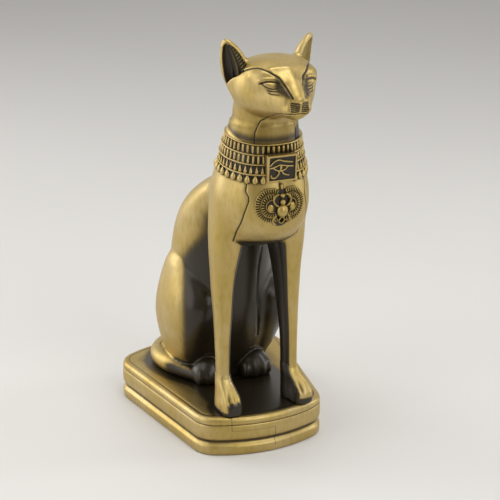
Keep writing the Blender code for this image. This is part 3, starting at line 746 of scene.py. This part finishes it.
def antique_brass(name, lacquer_and_shade_edge=(0.35, 0.75), cloudy=0.14, gloss=0.55, seams=()):
    """Brass plate, lacquered dark and rubbed bright on the high places; the same dark colours also carry
    painted shade.
    """
    finish = Finish(name)
    cloud = finish.grain(0.022, 2.0)
    fine = finish.grain(0.0016, 4.0, (1, 1, 0.35))
    speck = finish.grain(0.0007, 2.0)
    covered = finish.attribute("lacquer_and_shade") + cloudy * (cloud - 0.5) + 0.08 * (fine - 0.5)
    place = finish.node("ShaderNodeSeparateXYZ", Vector=finish.node("ShaderNodeTexCoord")["Object"])
    for across, upward, share in seams:
        on_seam = finish.inside(place["X"], *across) * finish.inside(place["Z"], *upward)
        covered = covered + share * (on_seam * finish.inside(place["Y"], *FRONT_OF_PLINTH))
    thick = covered.between(*lacquer_and_shade_edge)
    thin = covered.between(lacquer_and_shade_edge[0] - 0.3, lacquer_and_shade_edge[1])
    plate = finish.blend(cloud.between(0.35, 0.65), BRIGHT_BRASS, PALE_BRASS)
    plate = finish.blend(0.35 * fine.between(0.45, 0.7), plate, OLIVE_BRASS)
    plate = finish.blend(thin, plate, THIN_LACQUER_AND_SHADE)
    finish.join(finish.shader.inputs["Base Color"], finish.blend(thick, plate, DARK_LACQUER_AND_SHADE))
    finish.join(finish.shader.inputs["Metallic"], 1.0 - 0.55 * thick)
    finish.join(finish.shader.inputs["Roughness"], 0.42 + 0.08 * fine)
    finish.join(finish.shader.inputs["Coat Weight"], 0.1 + gloss * thick)
    finish.shader.inputs["Coat Roughness"].default_value = 0.28
    finish.shader.inputs["Specular IOR Level"].default_value = 0.2
    bumps = 0.6 * fine + 0.4 * speck
    bump = finish.node("ShaderNodeBump", Height=bumps, Strength=0.12, Distance=0.0002)[0]
    finish.join(finish.shader.inputs["Normal"], bump)
    return finish.material


figure_brass = antique_brass("figure_antique_brass")
NECK_CUT = 116.0
NECK_LAP = 1.6
BODY_CELL = 1.0
HEAD_CELL = 0.56


def below_neck(p):
    """The body, up to a little over the cut."""
    return np.maximum(limbs(p), p[2] - NECK_CUT - NECK_LAP)


def above_neck(p):
    """The neck and head, from a little under the cut."""
    return np.maximum(figure(p), NECK_CUT - NECK_LAP - p[2])


def quartered(centres):
    """The middles of faces, laid on the left front quarter of the cat."""
    return np.abs(centres).T * np.array([[1], [-1], [1]])


def near_marks(centres):
    """Where the relief needs a finer mesh."""
    height, dark = marks(quartered(centres))
    return (np.abs(height) > 0.02) | (dark > 0.05)


def near_fine_marks(centres):
    """Where the relief is narrow: the seams, the muzzle, the eyes and the line round the mask."""
    p = quartered(centres)
    y, z = p[1:]
    on_seam = (z < 136) & (z > 62) & (y < -30)
    on_face = (z > 135) & (y < -50)
    near = np.zeros(len(centres), bool)
    near[on_seam] = away_from(tuple(q[on_seam] for q in p), SEAM) < 0.8
    face = tuple(q[on_face] for q in p)
    near[on_face] = np.minimum(away_from(face, MASK_EDGE), away_from(face, MOUTH)) < 0.9
    near |= (y < -68) & (z > 136.5) & (z < 143)
    return near | (sum((q - c) ** 2 for q, c in zip(p, EYE_CENTRE)) < 24)


def cast(name, field, low, high, cell, fine_zone):
    """Skin a mass, cut its mesh finer where relief is, press the relief in and lay on the dark of the
    lacquered places and of the painted shade.
    """
    points, quads = skin(field, low, high, cell)
    points, _ = settle(field, points, cell)
    centres = points[quads].mean(1)
    points, faces = finer(points, quads, fine_zone(centres) | near_marks(centres))
    points, _ = settle(field, points, cell)
    centres = np.array([points[face].mean(0) for face in faces])
    points, faces = finer(points, faces, near_fine_marks(centres))
    points, normals = settle(field, points, cell)
    height, dark = marks(points.T)
    dark = lacquer_and_shade(points, normals, dark)
    points = points + normals * height[:, None]
    points[:, 2] = np.maximum(points[:, 2], 0)
    piece = cast_piece(name, points, faces, dark, figure_brass)
    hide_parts("cat_figure")


cast("cat_body", below_neck, (-36, -68, -2.5), (36, 46, NECK_CUT + 5), BODY_CELL,
     lambda c: ((c[:, 2] < 13) & (c[:, 1] < 0)) | ((c[:, 1] < -24) & (c[:, 2] < 80)))
cast("cat_head", above_neck, (-26, -78, NECK_CUT - 5), (26, -20, 166), HEAD_CELL,
     lambda c: ((c[:, 1] < -56) & (c[:, 2] > 131)) | ((c[:, 2] > 150) & (np.abs(c[:, 0]) > 9)))


# The broad collar
# A collar of four thin rims with two rows of bars and a row of petals between them, and a hem of drops.
# On the real cat it is cast in one with the neck, and dark lacquer fills everything between the rims.

AXIS_ALONG = -39.0
RIM_DROPS = (0.0, 4.2, 8.1, 12.0)
RIM_HALF_WIDTH = 0.4
RIM_HEIGHT = 1.15
BAND_HEIGHT = 0.3
HEM_DROP = 12.3
FLANGE = 2.4


def on_collar(layout):
    """Put a flat layout of angle, height over the collar's top and height over the skin on the neck."""
    angle, up, over = np.asarray(layout, float).T
    radius = np.full(len(angle), 16.0)
    for _ in range(12):
        y = AXIS_ALONG - radius * np.cos(angle)
        z = COLLAR_TOP + collar_rise(y) + up
        radius = radius - limbs((radius * np.sin(angle), y, z))
    surface = np.stack([radius * np.sin(angle), AXIS_ALONG - radius * np.cos(angle), z], 1)
    return surface + slope_of(limbs, surface) * over[:, None]


def swept(count, sides, closed):
    """Faces of a ring or a bar that has so many sections, each with so many sides."""
    faces = []
    for i in range(count if closed else count - 1):
        j = (i + 1) % count
        for k in range(sides):
            m = (k + 1) % sides
            faces.append((i * sides + k, i * sides + m, j * sides + m, j * sides + k))
    if not closed:
        faces += [tuple(range(sides))[::-1], tuple(range((count - 1) * sides, count * sides))]
    return faces


TURNS = 480
angles = np.linspace(0, 2 * math.pi, TURNS, endpoint=False)


def collar_ring(drops_and_heights):
    """A closed ring round the neck from a section of drops below the collar's top and heights."""
    layout = []
    for angle in angles:
        for drop, height in drops_and_heights(angle):
            layout.append((angle, -drop, height))
    sides = len(drops_and_heights(0))
    return on_collar(layout), swept(TURNS, sides, True), np.array(layout)


def band_section(angle):
    """The ground under the rows, with a flange above it that fades out towards the throat."""
    wide = FLANGE * ramp(-math.cos(angle), -0.85, 0.1)
    second, third = RIM_DROPS[1:3]
    return [(-wide, -1.0), (-wide, -0.1), (-0.6 * wide, 0.45), (0.1, 0.7), (0.3, BAND_HEIGHT),
            (second, BAND_HEIGHT), (third, BAND_HEIGHT), (HEM_DROP - 0.1, BAND_HEIGHT), (HEM_DROP, 0.1),
            (HEM_DROP, -1.0), (third, -1.0), (second, -1.0)]


def rim_section(drop):
    """A round rim, the same all round."""
    turns = np.linspace(0, 2 * math.pi, 10, endpoint=False)
    section = [(drop - RIM_HALF_WIDTH * math.cos(a), 0.35 + (RIM_HEIGHT - 0.35) * math.sin(a)) for a in turns]
    return lambda angle: section


def merged(parts):
    """Several meshes' points, faces and darkness as one."""
    points, faces, dark, start = [], [], [], 0
    for some, its_faces, its_dark in parts:
        points.append(some)
        dark.append(its_dark)
        faces += [[i + start for i in face] for face in its_faces]
        start += len(some)
    return np.concatenate(points), faces, np.concatenate(dark)


def outward(faces):
    """The same faces turned over."""
    return [face[::-1] for face in faces]


collar_brass = antique_brass("collar_antique_brass", (0.3, 0.7))
parts = []
points, faces, layout = collar_ring(band_section)
parts.append((points, faces, (layout[:, 1] < -0.2).astype(float)))
for drop in RIM_DROPS:
    points, faces, layout = collar_ring(rim_section(drop))
    parts.append((points, faces, ramp(-layout[:, 2], -0.75, -0.45)))
points, faces, dark = merged(parts)
collar_rims = cast_piece("collar_rims", points, faces, dark, collar_brass)


def wrapped(flat_object, place):
    """Turn the flat result of a row tree into a finished piece on the cat."""
    evaluated = flat_object.evaluated_get(bpy.context.evaluated_depsgraph_get())
    mesh = bpy.data.meshes.new_from_object(evaluated)
    flat = np.array([vertex.co for vertex in mesh.vertices])
    faces = [list(face.vertices) for face in mesh.polygons]
    flat_object.modifiers.clear()
    bpy.data.objects.remove(flat_object)
    return place(flat), faces, ramp(-flat[:, 2], -0.62, -0.35)


BEAD_ROOT = 0.7
BEAD_SINK = 0.25


def bead(name, rows):
    """A small cast bead from rows of place along, half width and height, lying on its back."""
    around = np.linspace(0, math.pi, 6)
    points = []
    for along, half, height in rows:
        for a in around:
            root = BEAD_ROOT * (math.sin(a) < 0.01)
            points.append((half * math.cos(a), along, height * math.sin(a) - root))
    mesh = bpy.data.meshes.new(name)
    mesh.from_pydata(points, [], swept(len(rows), len(around), False))
    shape = bmesh.new()
    shape.from_mesh(mesh)
    bmesh.ops.recalc_face_normals(shape, faces=shape.faces)
    shape.to_mesh(mesh)
    shape.free()
    return linked(name, mesh)


class RowTree(Tree):
    """A geometry tree under construction, with named inputs."""

    def __init__(self, name, **inputs):
        super().__init__(bpy.data.node_groups.new(name, "GeometryNodeTree"))
        self.tree.interface.new_socket("Geometry", in_out="OUTPUT", socket_type="NodeSocketGeometry")
        self.names = {}
        for label, kind in inputs.items():
            socket = self.tree.interface.new_socket(label.replace("_", " "), in_out="INPUT",
                                                    socket_type="NodeSocket" + kind)
            self.names[label] = socket.identifier
        self.given = self.node("NodeGroupInput")

    def maths(self, operation, a, b=0.0):
        """One step of arithmetic."""
        return self.node("ShaderNodeMath", {"operation": operation}, _0=a, _1=b)[0]

    def close(self, instances):
        """Make the instances real, give them their material and end the tree."""
        real = self.node("GeometryNodeRealizeInstances", Geometry=instances)[0]
        done = self.node("GeometryNodeSetMaterial", Geometry=real, Material=self.given["Finish"])[0]
        self.node("NodeGroupOutput", Geometry=done)

    def run(self, name, **values):
        """An object that carries the tree, with its inputs set."""
        carrier = linked(name, bpy.data.meshes.new(name))
        rows = carrier.modifiers.new("rows", "NODES")
        rows.node_group = self.tree
        for label, value in values.items():
            rows[self.names[label]] = value
        return carrier


row_tree = RowTree("bead_row", Bead="Object", Count="Int", Pitch="Float", Finish="Material")
step = row_tree.node("ShaderNodeCombineXYZ", X=row_tree.given["Pitch"])[0]
spots = row_tree.node("GeometryNodeMeshLine", Count=row_tree.given["Count"], Offset=step)[0]
one = row_tree.node("GeometryNodeObjectInfo", Object=row_tree.given["Bead"])["Geometry"]
row_tree.close(row_tree.node("GeometryNodeInstanceOnPoints", Points=spots, Instance=one)[0])

bar = bead("collar_bar", [(-1.6, 0.42, 0.7), (-1.3, 0.62, 0.9), (1.3, 0.62, 0.9), (1.6, 0.42, 0.7)])
petal = bead("collar_petal", [(-1.6, 0.95, 0.75), (-1.2, 0.85, 0.9), (0.2, 0.5, 0.85), (1.6, 0.12, 0.6)])
drop_bead = bead("collar_drop", [(-1.6, 0.35, 0.3), (-1.4, 0.85, 0.7), (-0.8, 1.3, 1.0), (0, 1.35, 1.05),
                                 (0.8, 1.0, 0.95), (1.5, 0.6, 0.7), (2.0, 0.5, 0.5)])
parts = []
for kind, drop, pitch, gap in ((bar, 2.1, 2.05, 0), (bar, 6.15, 2.05, 0), (petal, 10.05, 2.3, 0),
                               (drop_bead, 14.1, 3.3, HEM_GAP)):
    level = np.full(TURNS + 1, -drop)
    ring = on_collar(np.column_stack([np.append(angles, 0), level, np.zeros(TURNS + 1)]))
    run = np.concatenate([[0], np.cumsum(np.linalg.norm(np.diff(ring, axis=0), axis=1))])
    spans = round((run[-1] - gap) / pitch)
    count, pitch = spans + (gap > 0), (run[-1] - gap) / spans
    row = row_tree.run("row", Bead=kind, Count=count, Pitch=pitch, Finish=collar_brass)

    def place(flat):
        """Bend the row round the neck."""
        turned_by = np.interp(np.mod(flat[:, 0] + gap / 2, run[-1]), run, np.append(angles, 2 * math.pi))
        over = flat[:, 2] + BAND_HEIGHT - BEAD_SINK
        return on_collar(np.column_stack([turned_by, flat[:, 1] - drop, over]))

    parts.append(wrapped(row, place))
points, faces, dark = merged(parts)
collar_beads = cast_piece("collar_beads", points, faces, dark, collar_brass)
for made in (bar, petal, drop_bead):
    bpy.data.objects.remove(made)
for piece in (collar_rims, collar_beads):
    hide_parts("cat_figure")


# The tablet and the winged scarab
# A small framed tablet with a falcon's eye in raised strokes hangs on the collar. A link joins it to a
# scarab that holds up the sun, between two wings of short feathers. All of it is cast with the chest.

TABLET_CENTRE = (0.2, -57.9, 111.6)
TABLET_HALF = (6.4, 5.5)
FRAME = 0.75
FIELD_DEPTH = 0.75
TABLET_DEPTH = 5.0
TABLET_LEAN = math.radians(3)


def stroke_distance(u, v, points):
    """Distance from a smooth stroke through points on the tablet."""
    path = smooth_path(points, 6 * len(points))
    return strand((u, v, 0 * u), [(a, b, 0, 0) for a, b in path])


EYE_STROKES = [[(-5.3, 1.5), (-3.8, 3), (-1.7, 3.7), (1, 2.9), (4.2, 2.4)],
               [(-5.3, 0.5), (-3.8, 0.7), (-1.1, 1.5), (1.7, 1), (4.6, 0.6)],
               [(-4, 0.4), (-1.9, -0.8), (0.6, -0.7), (2.3, 0.6)],
               [(-1.3, -1), (-1.7, -2.5), (-3.2, -3.7), (-4.6, -3.5), (-4.8, -2.6)],
               [(-0.2, -1), (0.7, -2.3), (2.8, -3)]]

step = 0.11
across = np.linspace(-TABLET_HALF[0], TABLET_HALF[0], round(2 * TABLET_HALF[0] / step))
upward = np.linspace(-TABLET_HALF[1], TABLET_HALF[1], round(2 * TABLET_HALF[1] / step))
u, v = (grid.ravel() for grid in np.meshgrid(across, upward, indexing="ij"))
border = np.minimum(TABLET_HALF[0] - np.abs(u), TABLET_HALF[1] - np.abs(v))
raised = ramp(-border, -FRAME - 0.1, -FRAME + 0.1)
for stroke in EYE_STROKES:
    raised = np.maximum(raised, ramp(-stroke_distance(u, v, stroke), -0.42, -0.2))
pupil = np.hypot(u + 0.6, 0.6 * (v - 0.3))
raised = np.maximum(raised, 0.9 * ramp(-pupil, -0.65, -0.45))
grain = 0.06 * np.sin(u * 11 + 2 * np.sin(v * 7)) * np.sin(v * 12 + 2 * np.sin(u * 5))
height = np.where(raised > 0.02, raised * FIELD_DEPTH, np.maximum(grain, -0.04))
height = height - 0.25 * ramp(-border, -0.12, 0)
flat = np.column_stack([u, v, height - FIELD_DEPTH])
rows, columns = len(across), len(upward)
faces = [(i * columns + j, (i + 1) * columns + j, (i + 1) * columns + j + 1, i * columns + j + 1)
         for i in range(rows - 1) for j in range(columns - 1)]
rim = [i * columns for i in range(rows)] + [(rows - 1) * columns + j for j in range(1, columns)]
rim += [i * columns + columns - 1 for i in range(rows - 2, -1, -1)] + [j for j in range(columns - 2, 0, -1)]
start = len(flat)
flat = np.concatenate([flat, np.column_stack([flat[rim, 0], flat[rim, 1], np.full(len(rim), -TABLET_DEPTH)])])
for k in range(len(rim)):
    m = (k + 1) % len(rim)
    faces.append((rim[m], rim[k], start + k, start + m))
faces.append(tuple(start + k for k in range(len(rim)))[::-1])
across, upward, outwards = flat.T
c, s = math.cos(TABLET_LEAN), math.sin(TABLET_LEAN)
placed = np.column_stack([across, -outwards * c - upward * s, upward * c - outwards * s])
placed = placed + np.array(TABLET_CENTRE)
# Lacquer in the sunk field between the raised strokes and frame; the side walls and back get the dark colour
# as painted shade.
dark = np.concatenate([1 - ramp(raised, 0.35, 0.7), np.full(len(rim), 0.95)])
tablet = cast_piece("collar_tablet", placed, faces, dark, collar_brass)


JEWEL_LIFT = 0.25


def on_chest(flat):
    """Put a layout of across, height and height over the skin on the front of the chest."""
    x, z, over = np.asarray(flat, float).T
    y = np.full(len(x), -56.0)
    for _ in range(24):
        y = y + limbs((x, y, z))
    surface = np.stack([x, y, z], 1)
    return surface + slope_of(limbs, surface) * (over[:, None] + JEWEL_LIFT)


def raised_line(points, half_width, height, steps=24, closed=False):
    """A half-round line laid on the chest."""
    path = smooth_path(points + points[:1] if closed else points, steps + closed)
    path = path[:-1] if closed else path
    heading = np.roll(path, -1, 0) - np.roll(path, 1, 0) if closed else np.gradient(path, axis=0)
    length = np.linalg.norm(heading[:, :2], axis=1)[:, None]
    normal = np.column_stack([-heading[:, 1], heading[:, 0]]) / length
    turns = np.linspace(0, 2 * math.pi, 8, endpoint=False)
    flat = []
    for i, (point, side) in enumerate(zip(path, normal)):
        share = 1 if closed else math.sqrt(min(1, min(i, len(path) - 1 - i) / 2 + 0.15))
        for a in turns:
            across = point[:2] + side * half_width * share * math.cos(a)
            flat.append((*across, height * share * math.sin(a)))
    flat = np.array(flat)
    faces = outward(swept(len(path), len(turns), closed))
    return on_chest(flat), faces, ramp(-flat[:, 2], -0.3 * height, 0.0)


def dome(centre, half, height, rings=7, sides=20):
    """A rounded boss laid on the chest."""
    flat = [(*centre, height)]
    for k in range(1, rings + 1):
        lift = math.cos(k / rings * math.pi * 0.6)
        out = math.sin(min(k / rings * math.pi * 0.6, math.pi / 2))
        for i in range(sides):
            a = 2 * math.pi * i / sides
            across, up = half[0] * out * math.cos(a), half[1] * out * math.sin(a)
            flat.append((centre[0] + across, centre[1] + up, height * lift))
    faces = [(0, 1 + i, 1 + (i + 1) % sides) for i in range(sides)]
    for k in range(rings - 1):
        for i in range(sides):
            a, b, j = 1 + k * sides, 1 + (k + 1) * sides, (i + 1) % sides
            faces.append((a + i, b + i, b + j, a + j))
    faces.append(tuple(1 + (rings - 1) * sides + i for i in range(sides))[::-1])
    flat = np.array(flat)
    return on_chest(flat), faces, ramp(-flat[:, 2], -0.35 * height, 0.0)


fan_tree = RowTree("feather_fan", Feather="Object", Count="Int", Radius="Float", First_Turn="Float",
                   Turn_Step="Float", Finish="Material")
index = fan_tree.node("GeometryNodeInputIndex")[0]
turn = fan_tree.maths("MULTIPLY", index, fan_tree.given["Turn Step"])
turn = fan_tree.maths("ADD", turn, fan_tree.given["First Turn"])
place_x, place_y = (fan_tree.maths("MULTIPLY", fan_tree.maths(way, turn), fan_tree.given["Radius"])
                    for way in ("COSINE", "SINE"))
spot = fan_tree.node("ShaderNodeCombineXYZ", X=place_x, Y=place_y)[0]
spots = fan_tree.node("GeometryNodeMeshLine", Count=fan_tree.given["Count"])[0]
spread = fan_tree.node("GeometryNodeSetPosition", Geometry=spots, Position=spot)[0]
facing = fan_tree.node("ShaderNodeCombineXYZ", Z=fan_tree.maths("SUBTRACT", turn, math.pi / 2))[0]
one = fan_tree.node("GeometryNodeObjectInfo", Object=fan_tree.given["Feather"])["Geometry"]
fan_tree.close(fan_tree.node("GeometryNodeInstanceOnPoints", Points=spread, Instance=one, Rotation=facing)[0])

WING_CENTRE = (4.2, 96.4)
WING_ROUND = 0.88
WING_RADIUS = 6.9
FEATHER_PITCH = 0.9
FAN_START = 65
FAN_SWEEP = 230
outer_rows = [(-1.1, 0.24, 0.5), (0.6, 0.4, 0.75), (1.0, 0.35, 0.7), (1.2, 0.14, 0.4)]
inner_rows = [(-0.9, 0.22, 0.5), (0.5, 0.36, 0.8), (0.85, 0.31, 0.75), (1.0, 0.12, 0.45)]
feathers = {0.84: bead("outer_feather", outer_rows), 0.52: bead("inner_feather", inner_rows)}
parts = []
for side in (-1, 1):
    for share, feather in feathers.items():
        radius = share * WING_RADIUS
        count = round(radius * math.radians(FAN_SWEEP) / FEATHER_PITCH)
        fan = fan_tree.run("fan", Feather=feather, Count=count, Radius=radius,
                           First_Turn=math.radians(FAN_START),
                           Turn_Step=math.radians(FAN_SWEEP) / (count - 1), Finish=collar_brass)

        def place(flat):
            """Lay the fan on this side's wing."""
            x = side * WING_CENTRE[0] + side * -flat[:, 0] * WING_ROUND
            return on_chest(np.column_stack([x, WING_CENTRE[1] + flat[:, 1], flat[:, 2] + 0.1]))

        points, faces, dark = wrapped(fan, place)
        parts.append((points, faces if side < 0 else outward(faces), dark))
    for radius, height in ((6.95, 0.55), (4.75, 0.6), (2.5, 0.6)):
        arc = [(side * (WING_CENTRE[0] - WING_ROUND * radius * math.cos(a)),
                WING_CENTRE[1] + radius * math.sin(a))
               for a in np.radians(np.linspace(FAN_START, FAN_START + FAN_SWEEP, 25))]
        parts.append(raised_line(arc, 0.22, height, 60))
    parts.append(dome((side * 4.6, 95.6), (1.3, 1.7), 0.8))
    legs = [[(1.4, 96.2), (2.6, 96.9), (3.5, 98.2), (3.4, 99.7), (2.4, 100.7), (1.1, 100.9)],
            [(2.2, 92.7), (3.2, 91.6), (3.6, 90.2), (2.9, 89.1), (1.9, 88.9)]]
    for path in legs:
        parts.append(raised_line([(side * x, z) for x, z in path], 0.42, 1.3))
ring = [(1.15 * math.cos(a), 90.4 + 1.25 * math.sin(a))
        for a in np.linspace(0, 2 * math.pi, 12, endpoint=False)]
parts.append(raised_line(ring, 0.3, 1.1, 24, True))
parts.append(dome((0, 100.5), (1.05, 1.05), 1.9))
parts.append(dome((0, 97.9), (1.15, 1.3), 2.0))
parts.append(dome((0, 94.3), (2.35, 2.75), 2.5, 9, 28))
parts.append(raised_line([(0, 102.6), (0, 105.2)], 0.55, 1.0, 10))
parts.append(dome((0, 105.9), (0.9, 1.0), 1.2, 5, 4))
points, faces, dark = merged(parts)
scarab = cast_piece("winged_scarab", points, faces, dark, collar_brass)
for made in feathers.values():
    bpy.data.objects.remove(made)
for piece in (tablet, scarab):
    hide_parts("cat_figure")


# The plinth
# A bowed slab cast with the figure: a foot band, a soft cove, a main band, a thin groove and a rolled
# lip round a flat top. It is plated and lacquered as the figure is, with painted shade on the lower slope of
# the cove, and its top is darkest under and round the cat.

PLINTH_HEIGHT = 17.6
CORNER_RADIUS = 12.0
TOP_MIDDLE = 2.0


def bowed_plan(turns_per_bow, turns_per_corner):
    """Points and outward normals of the plan, inset by the corner radius."""
    half, front_half, back_half, front_bow, back_bow = 47.7, 29.2, 41.0, 8.1, 13.1
    run, spread = 2 * half - front_bow - back_bow, back_half - front_half
    side_normal, side_length = math.atan2(run, spread), math.hypot(run, spread)
    plan = []
    for end, width, bow in ((-1, front_half, front_bow), (1, back_half, back_bow)):
        radius = (width ** 2 + bow ** 2) / (2 * bow)
        centre = end * (half - radius)
        inner = radius - CORNER_RADIUS
        reach = width * run / side_length - end * spread * (half - bow - end * centre) / side_length
        limit = side_normal if end < 0 else math.pi - side_normal
        bend = limit - math.acos(min(1.0, (reach - CORNER_RADIUS) / inner))
        corner = np.linspace(bend, limit, turns_per_corner + 1)
        angles = np.concatenate([-corner[::-1], np.linspace(-bend, bend, turns_per_bow + 1)[1:-1], corner])
        for angle in angles:
            held = min(max(angle, -bend), bend)
            normal = (-end * math.sin(angle), end * math.cos(angle))
            plan.append((-end * inner * math.sin(held), centre + end * inner * math.cos(held), *normal))
    return np.array(plan)


def along_sides(plan, longest):
    """The plan with points added on its long straight sides."""
    out = []
    for a, b in zip(plan, np.roll(plan, -1, 0)):
        parts = max(1, int(np.hypot(*(b - a)[:2]) / longest))
        out += [a + (b - a) * k / parts for k in range(parts)]
    return np.array(out)


def plinth_profile():
    """Outset from the plan, height and darkness, from the underside up to the flat top."""
    foot_band, cove, lip = 4.7, 7.4, 14.3
    # The third column is darkness: lacquer in the grooves and the cove, painted shade on the cove's lower
    # slope, and a little on the bottom edge.
    rows = [(-1.2, 0, 0.2), (-0.7, 0.12, 0.1), (-0.2, 0.5, 0), (0, 1.2, 0), (0, 3.6, 0), (-0.12, 4.3, 0),
            (-0.45, foot_band, 0), (-0.9, 5.1, 0.1), (-1.2, 5.6, 0.45), (-1.3, 6.1, 0.78), (-1.1, 6.7, 0.78),
            (-0.5, cove, 0.35), (-0.12, 7.8, 0), (0.08, 8.8, 0), (0.12, 10.8, 0), (0.05, 12.8, 0),
            (-0.02, 13.8, 0), (-0.2, 14.1, 0.45), (-0.42, lip, 0.85), (-0.2, 14.5, 0.3), (-0.04, 14.8, 0)]
    for a in np.linspace(0, math.pi / 2, 7):
        rows.append((-1.8 * (1 - math.cos(a)) - 0.1, PLINTH_HEIGHT - 1.9 * (1 - math.sin(a)), 0))
    rows += [(-2.6, PLINTH_HEIGHT, 0), (-2.95, PLINTH_HEIGHT - 0.18, 0.9), (-3.3, PLINTH_HEIGHT, 0.1)]
    return rows


plan = along_sides(bowed_plan(36, 12), 2.5)
profile = plinth_profile()
ring_points = [np.column_stack([plan[:, :2] + plan[:, 2:] * (CORNER_RADIUS + out), np.full(len(plan), z)])
               for out, z, _ in profile]
ring_dark = [np.full(len(plan), dark) for _, _, dark in profile]
inner_edge = ring_points[-1]
middle = np.array([0, TOP_MIDDLE, PLINTH_HEIGHT])
TOP_RINGS = 22
for k in range(1, TOP_RINGS):
    ring_points.append(middle + (inner_edge - middle) * (1 - k / TOP_RINGS))
    ring_dark.append(np.zeros(len(plan)))
points = np.concatenate(ring_points + [middle[None], np.array([[0, TOP_MIDDLE, 0]])])
dark = np.concatenate(ring_dark + [np.zeros(2)])
around = len(plan)
faces = swept(len(ring_points), around, False)[:-2]
top, bottom, last = len(points) - 2, len(points) - 1, (len(ring_points) - 1) * around
faces += [(last + i, last + (i + 1) % around, top) for i in range(around)]
faces += [((i + 1) % around, i, bottom) for i in range(around)]
on_top = np.arange(len(points)) >= (len(profile) - 2) * around
on_top[bottom] = False
above = (points - SEAT + np.array([0, 0, 0.4])).T
distance = figure(above)
edge_distance = np.zeros(len(points))
top_start = (len(profile) - 1) * around
to_edge = points[top_start:, None, :2] - inner_edge[None, :, :2]
edge_distance[top_start:] = np.linalg.norm(to_edge, axis=2).min(1)
top_x, top_y = above[0], above[1]
# The top is darker in front of the paws and round the foot of the cat, and less so near its rim.
front_dark = ramp(22.5 - np.abs(top_x - 1), -4.5, 4.5) * ramp(-top_y, -6, 4)
near_cat_dark = 0.5 * ramp(-distance, -15, -3) * ramp(edge_distance, 0.5, 6)
spread_dark = np.maximum.reduce([front_dark, ramp(-distance, -6.5, -1), near_cat_dark])
dark = np.clip(dark + np.where(on_top, np.clip(spread_dark, 0, 1), 0), 0, 1)
HAIRLINE = 0.00013
PARTING_LINES = [((-0.0168 - HAIRLINE, -0.0168 + HAIRLINE), (0.0116, 0.0175), 0.75),
                 ((-0.0168, 0.0026), (0.0116 - HAIRLINE, 0.0116 + HAIRLINE), 0.5),
                 ((0.0026 - HAIRLINE, 0.0026 + HAIRLINE), (0.0026, 0.0116), 0.65),
                 ((-0.0213 - HAIRLINE, -0.0213 + HAIRLINE), (0.0142, 0.0172), 0.5)]
plinth_brass = antique_brass("plinth_antique_brass", (0.35, 0.9), 0.05, 0.7, PARTING_LINES)
plinth_piece = cast_piece("plinth_casting", points - SEAT, faces, dark, plinth_brass)
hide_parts("plinth")


# The studio
# A plain pale floor under soft lamps, and the camera where the photograph was taken from.

floor_mesh = bpy.data.meshes.new("studio_floor")
floor_mesh.from_pydata([(-1.5, -1.5, 0), (1.5, -1.5, 0), (1.5, 1.5, 0), (-1.5, 1.5, 0)], [], [(0, 1, 2, 3)])
floor_finish = Finish("pale_floor")
floor_cloud = floor_finish.grain(0.3, 2.0)
floor_colour = floor_finish.blend(floor_cloud, (0.62, 0.61, 0.59), (0.66, 0.65, 0.63))
floor_finish.join(floor_finish.shader.inputs["Base Color"], floor_colour)
floor_finish.shader.inputs["Roughness"].default_value = 0.7
floor_mesh.materials.append(floor_finish.material)
floor = linked("studio_floor", floor_mesh)

world = bpy.data.worlds.new("studio_air")
world.use_nodes = True
air = world.node_tree
direction = air.nodes.new("ShaderNodeSeparateXYZ")
air.links.new(air.nodes.new("ShaderNodeTexCoord").outputs["Generated"], direction.inputs[0])
upper = Signal(air, direction.outputs["Z"]).between(-0.2, 0.9)
behind = Signal(air, direction.outputs["Y"]).between(-0.1, 0.8)
strength = 0.17 + 0.2 * upper + 0.45 * behind
air.links.new(strength.socket, air.nodes["Background"].inputs["Strength"])
air.nodes["Background"].inputs["Color"].default_value = (1.0, 0.98, 0.95, 1)
bpy.context.scene.world = world


def lamp(name, azimuth, elevation, distance, width, height, watts, tint=(1, 1, 1)):
    """A soft box aimed at the middle of the statue."""
    light = bpy.data.lights.new(name, "AREA")
    light.shape, light.size, light.size_y = "RECTANGLE", width, height
    light.energy, light.color = watts, tint
    a, e = math.radians(azimuth), math.radians(elevation)
    aim = Vector((math.sin(a) * math.cos(e), -math.cos(a) * math.cos(e), math.sin(e)))
    placed = linked(name, light)
    placed.location = aim * distance + Vector((0, 0, 0.09))
    placed.rotation_euler = aim.to_track_quat("Z", "Y").to_euler()


lamp("left_box", -84, 22, 0.8, 0.5, 0.8, 2.2, (1, 0.98, 0.94))
lamp("front_box", 14, 26, 1.0, 0.6, 0.6, 3.4)
lamp("right_strip", 78, 18, 0.8, 0.2, 0.8, 1.9)
lamp("back_box", -135, 20, 0.9, 0.5, 0.8, 3.6)
lamp("top_box", 20, 80, 0.9, 0.5, 0.5, 3.4)

FOCAL_LENGTH = 101.497
CAMERA_PLACE = (-0.229038, -0.545319, 0.284305)
camera = bpy.data.cameras.new("photo_camera")
camera.lens, camera.sensor_width = FOCAL_LENGTH, 36
placed_camera = linked("photo_camera", camera)
right = Vector((0.91594863, -0.40126305, 0.00510612))
upward = Vector((0.12827889, 0.30482663, 0.94372944))
backward = Vector((-0.38024023, -0.86375268, 0.33067911))
turn = Matrix((right, upward, backward)).transposed().to_4x4()
placed_camera.matrix_world = Matrix.Translation(CAMERA_PLACE) @ turn
bpy.context.scene.camera = placed_camera
bpy.context.scene.view_settings.view_transform = "Standard"
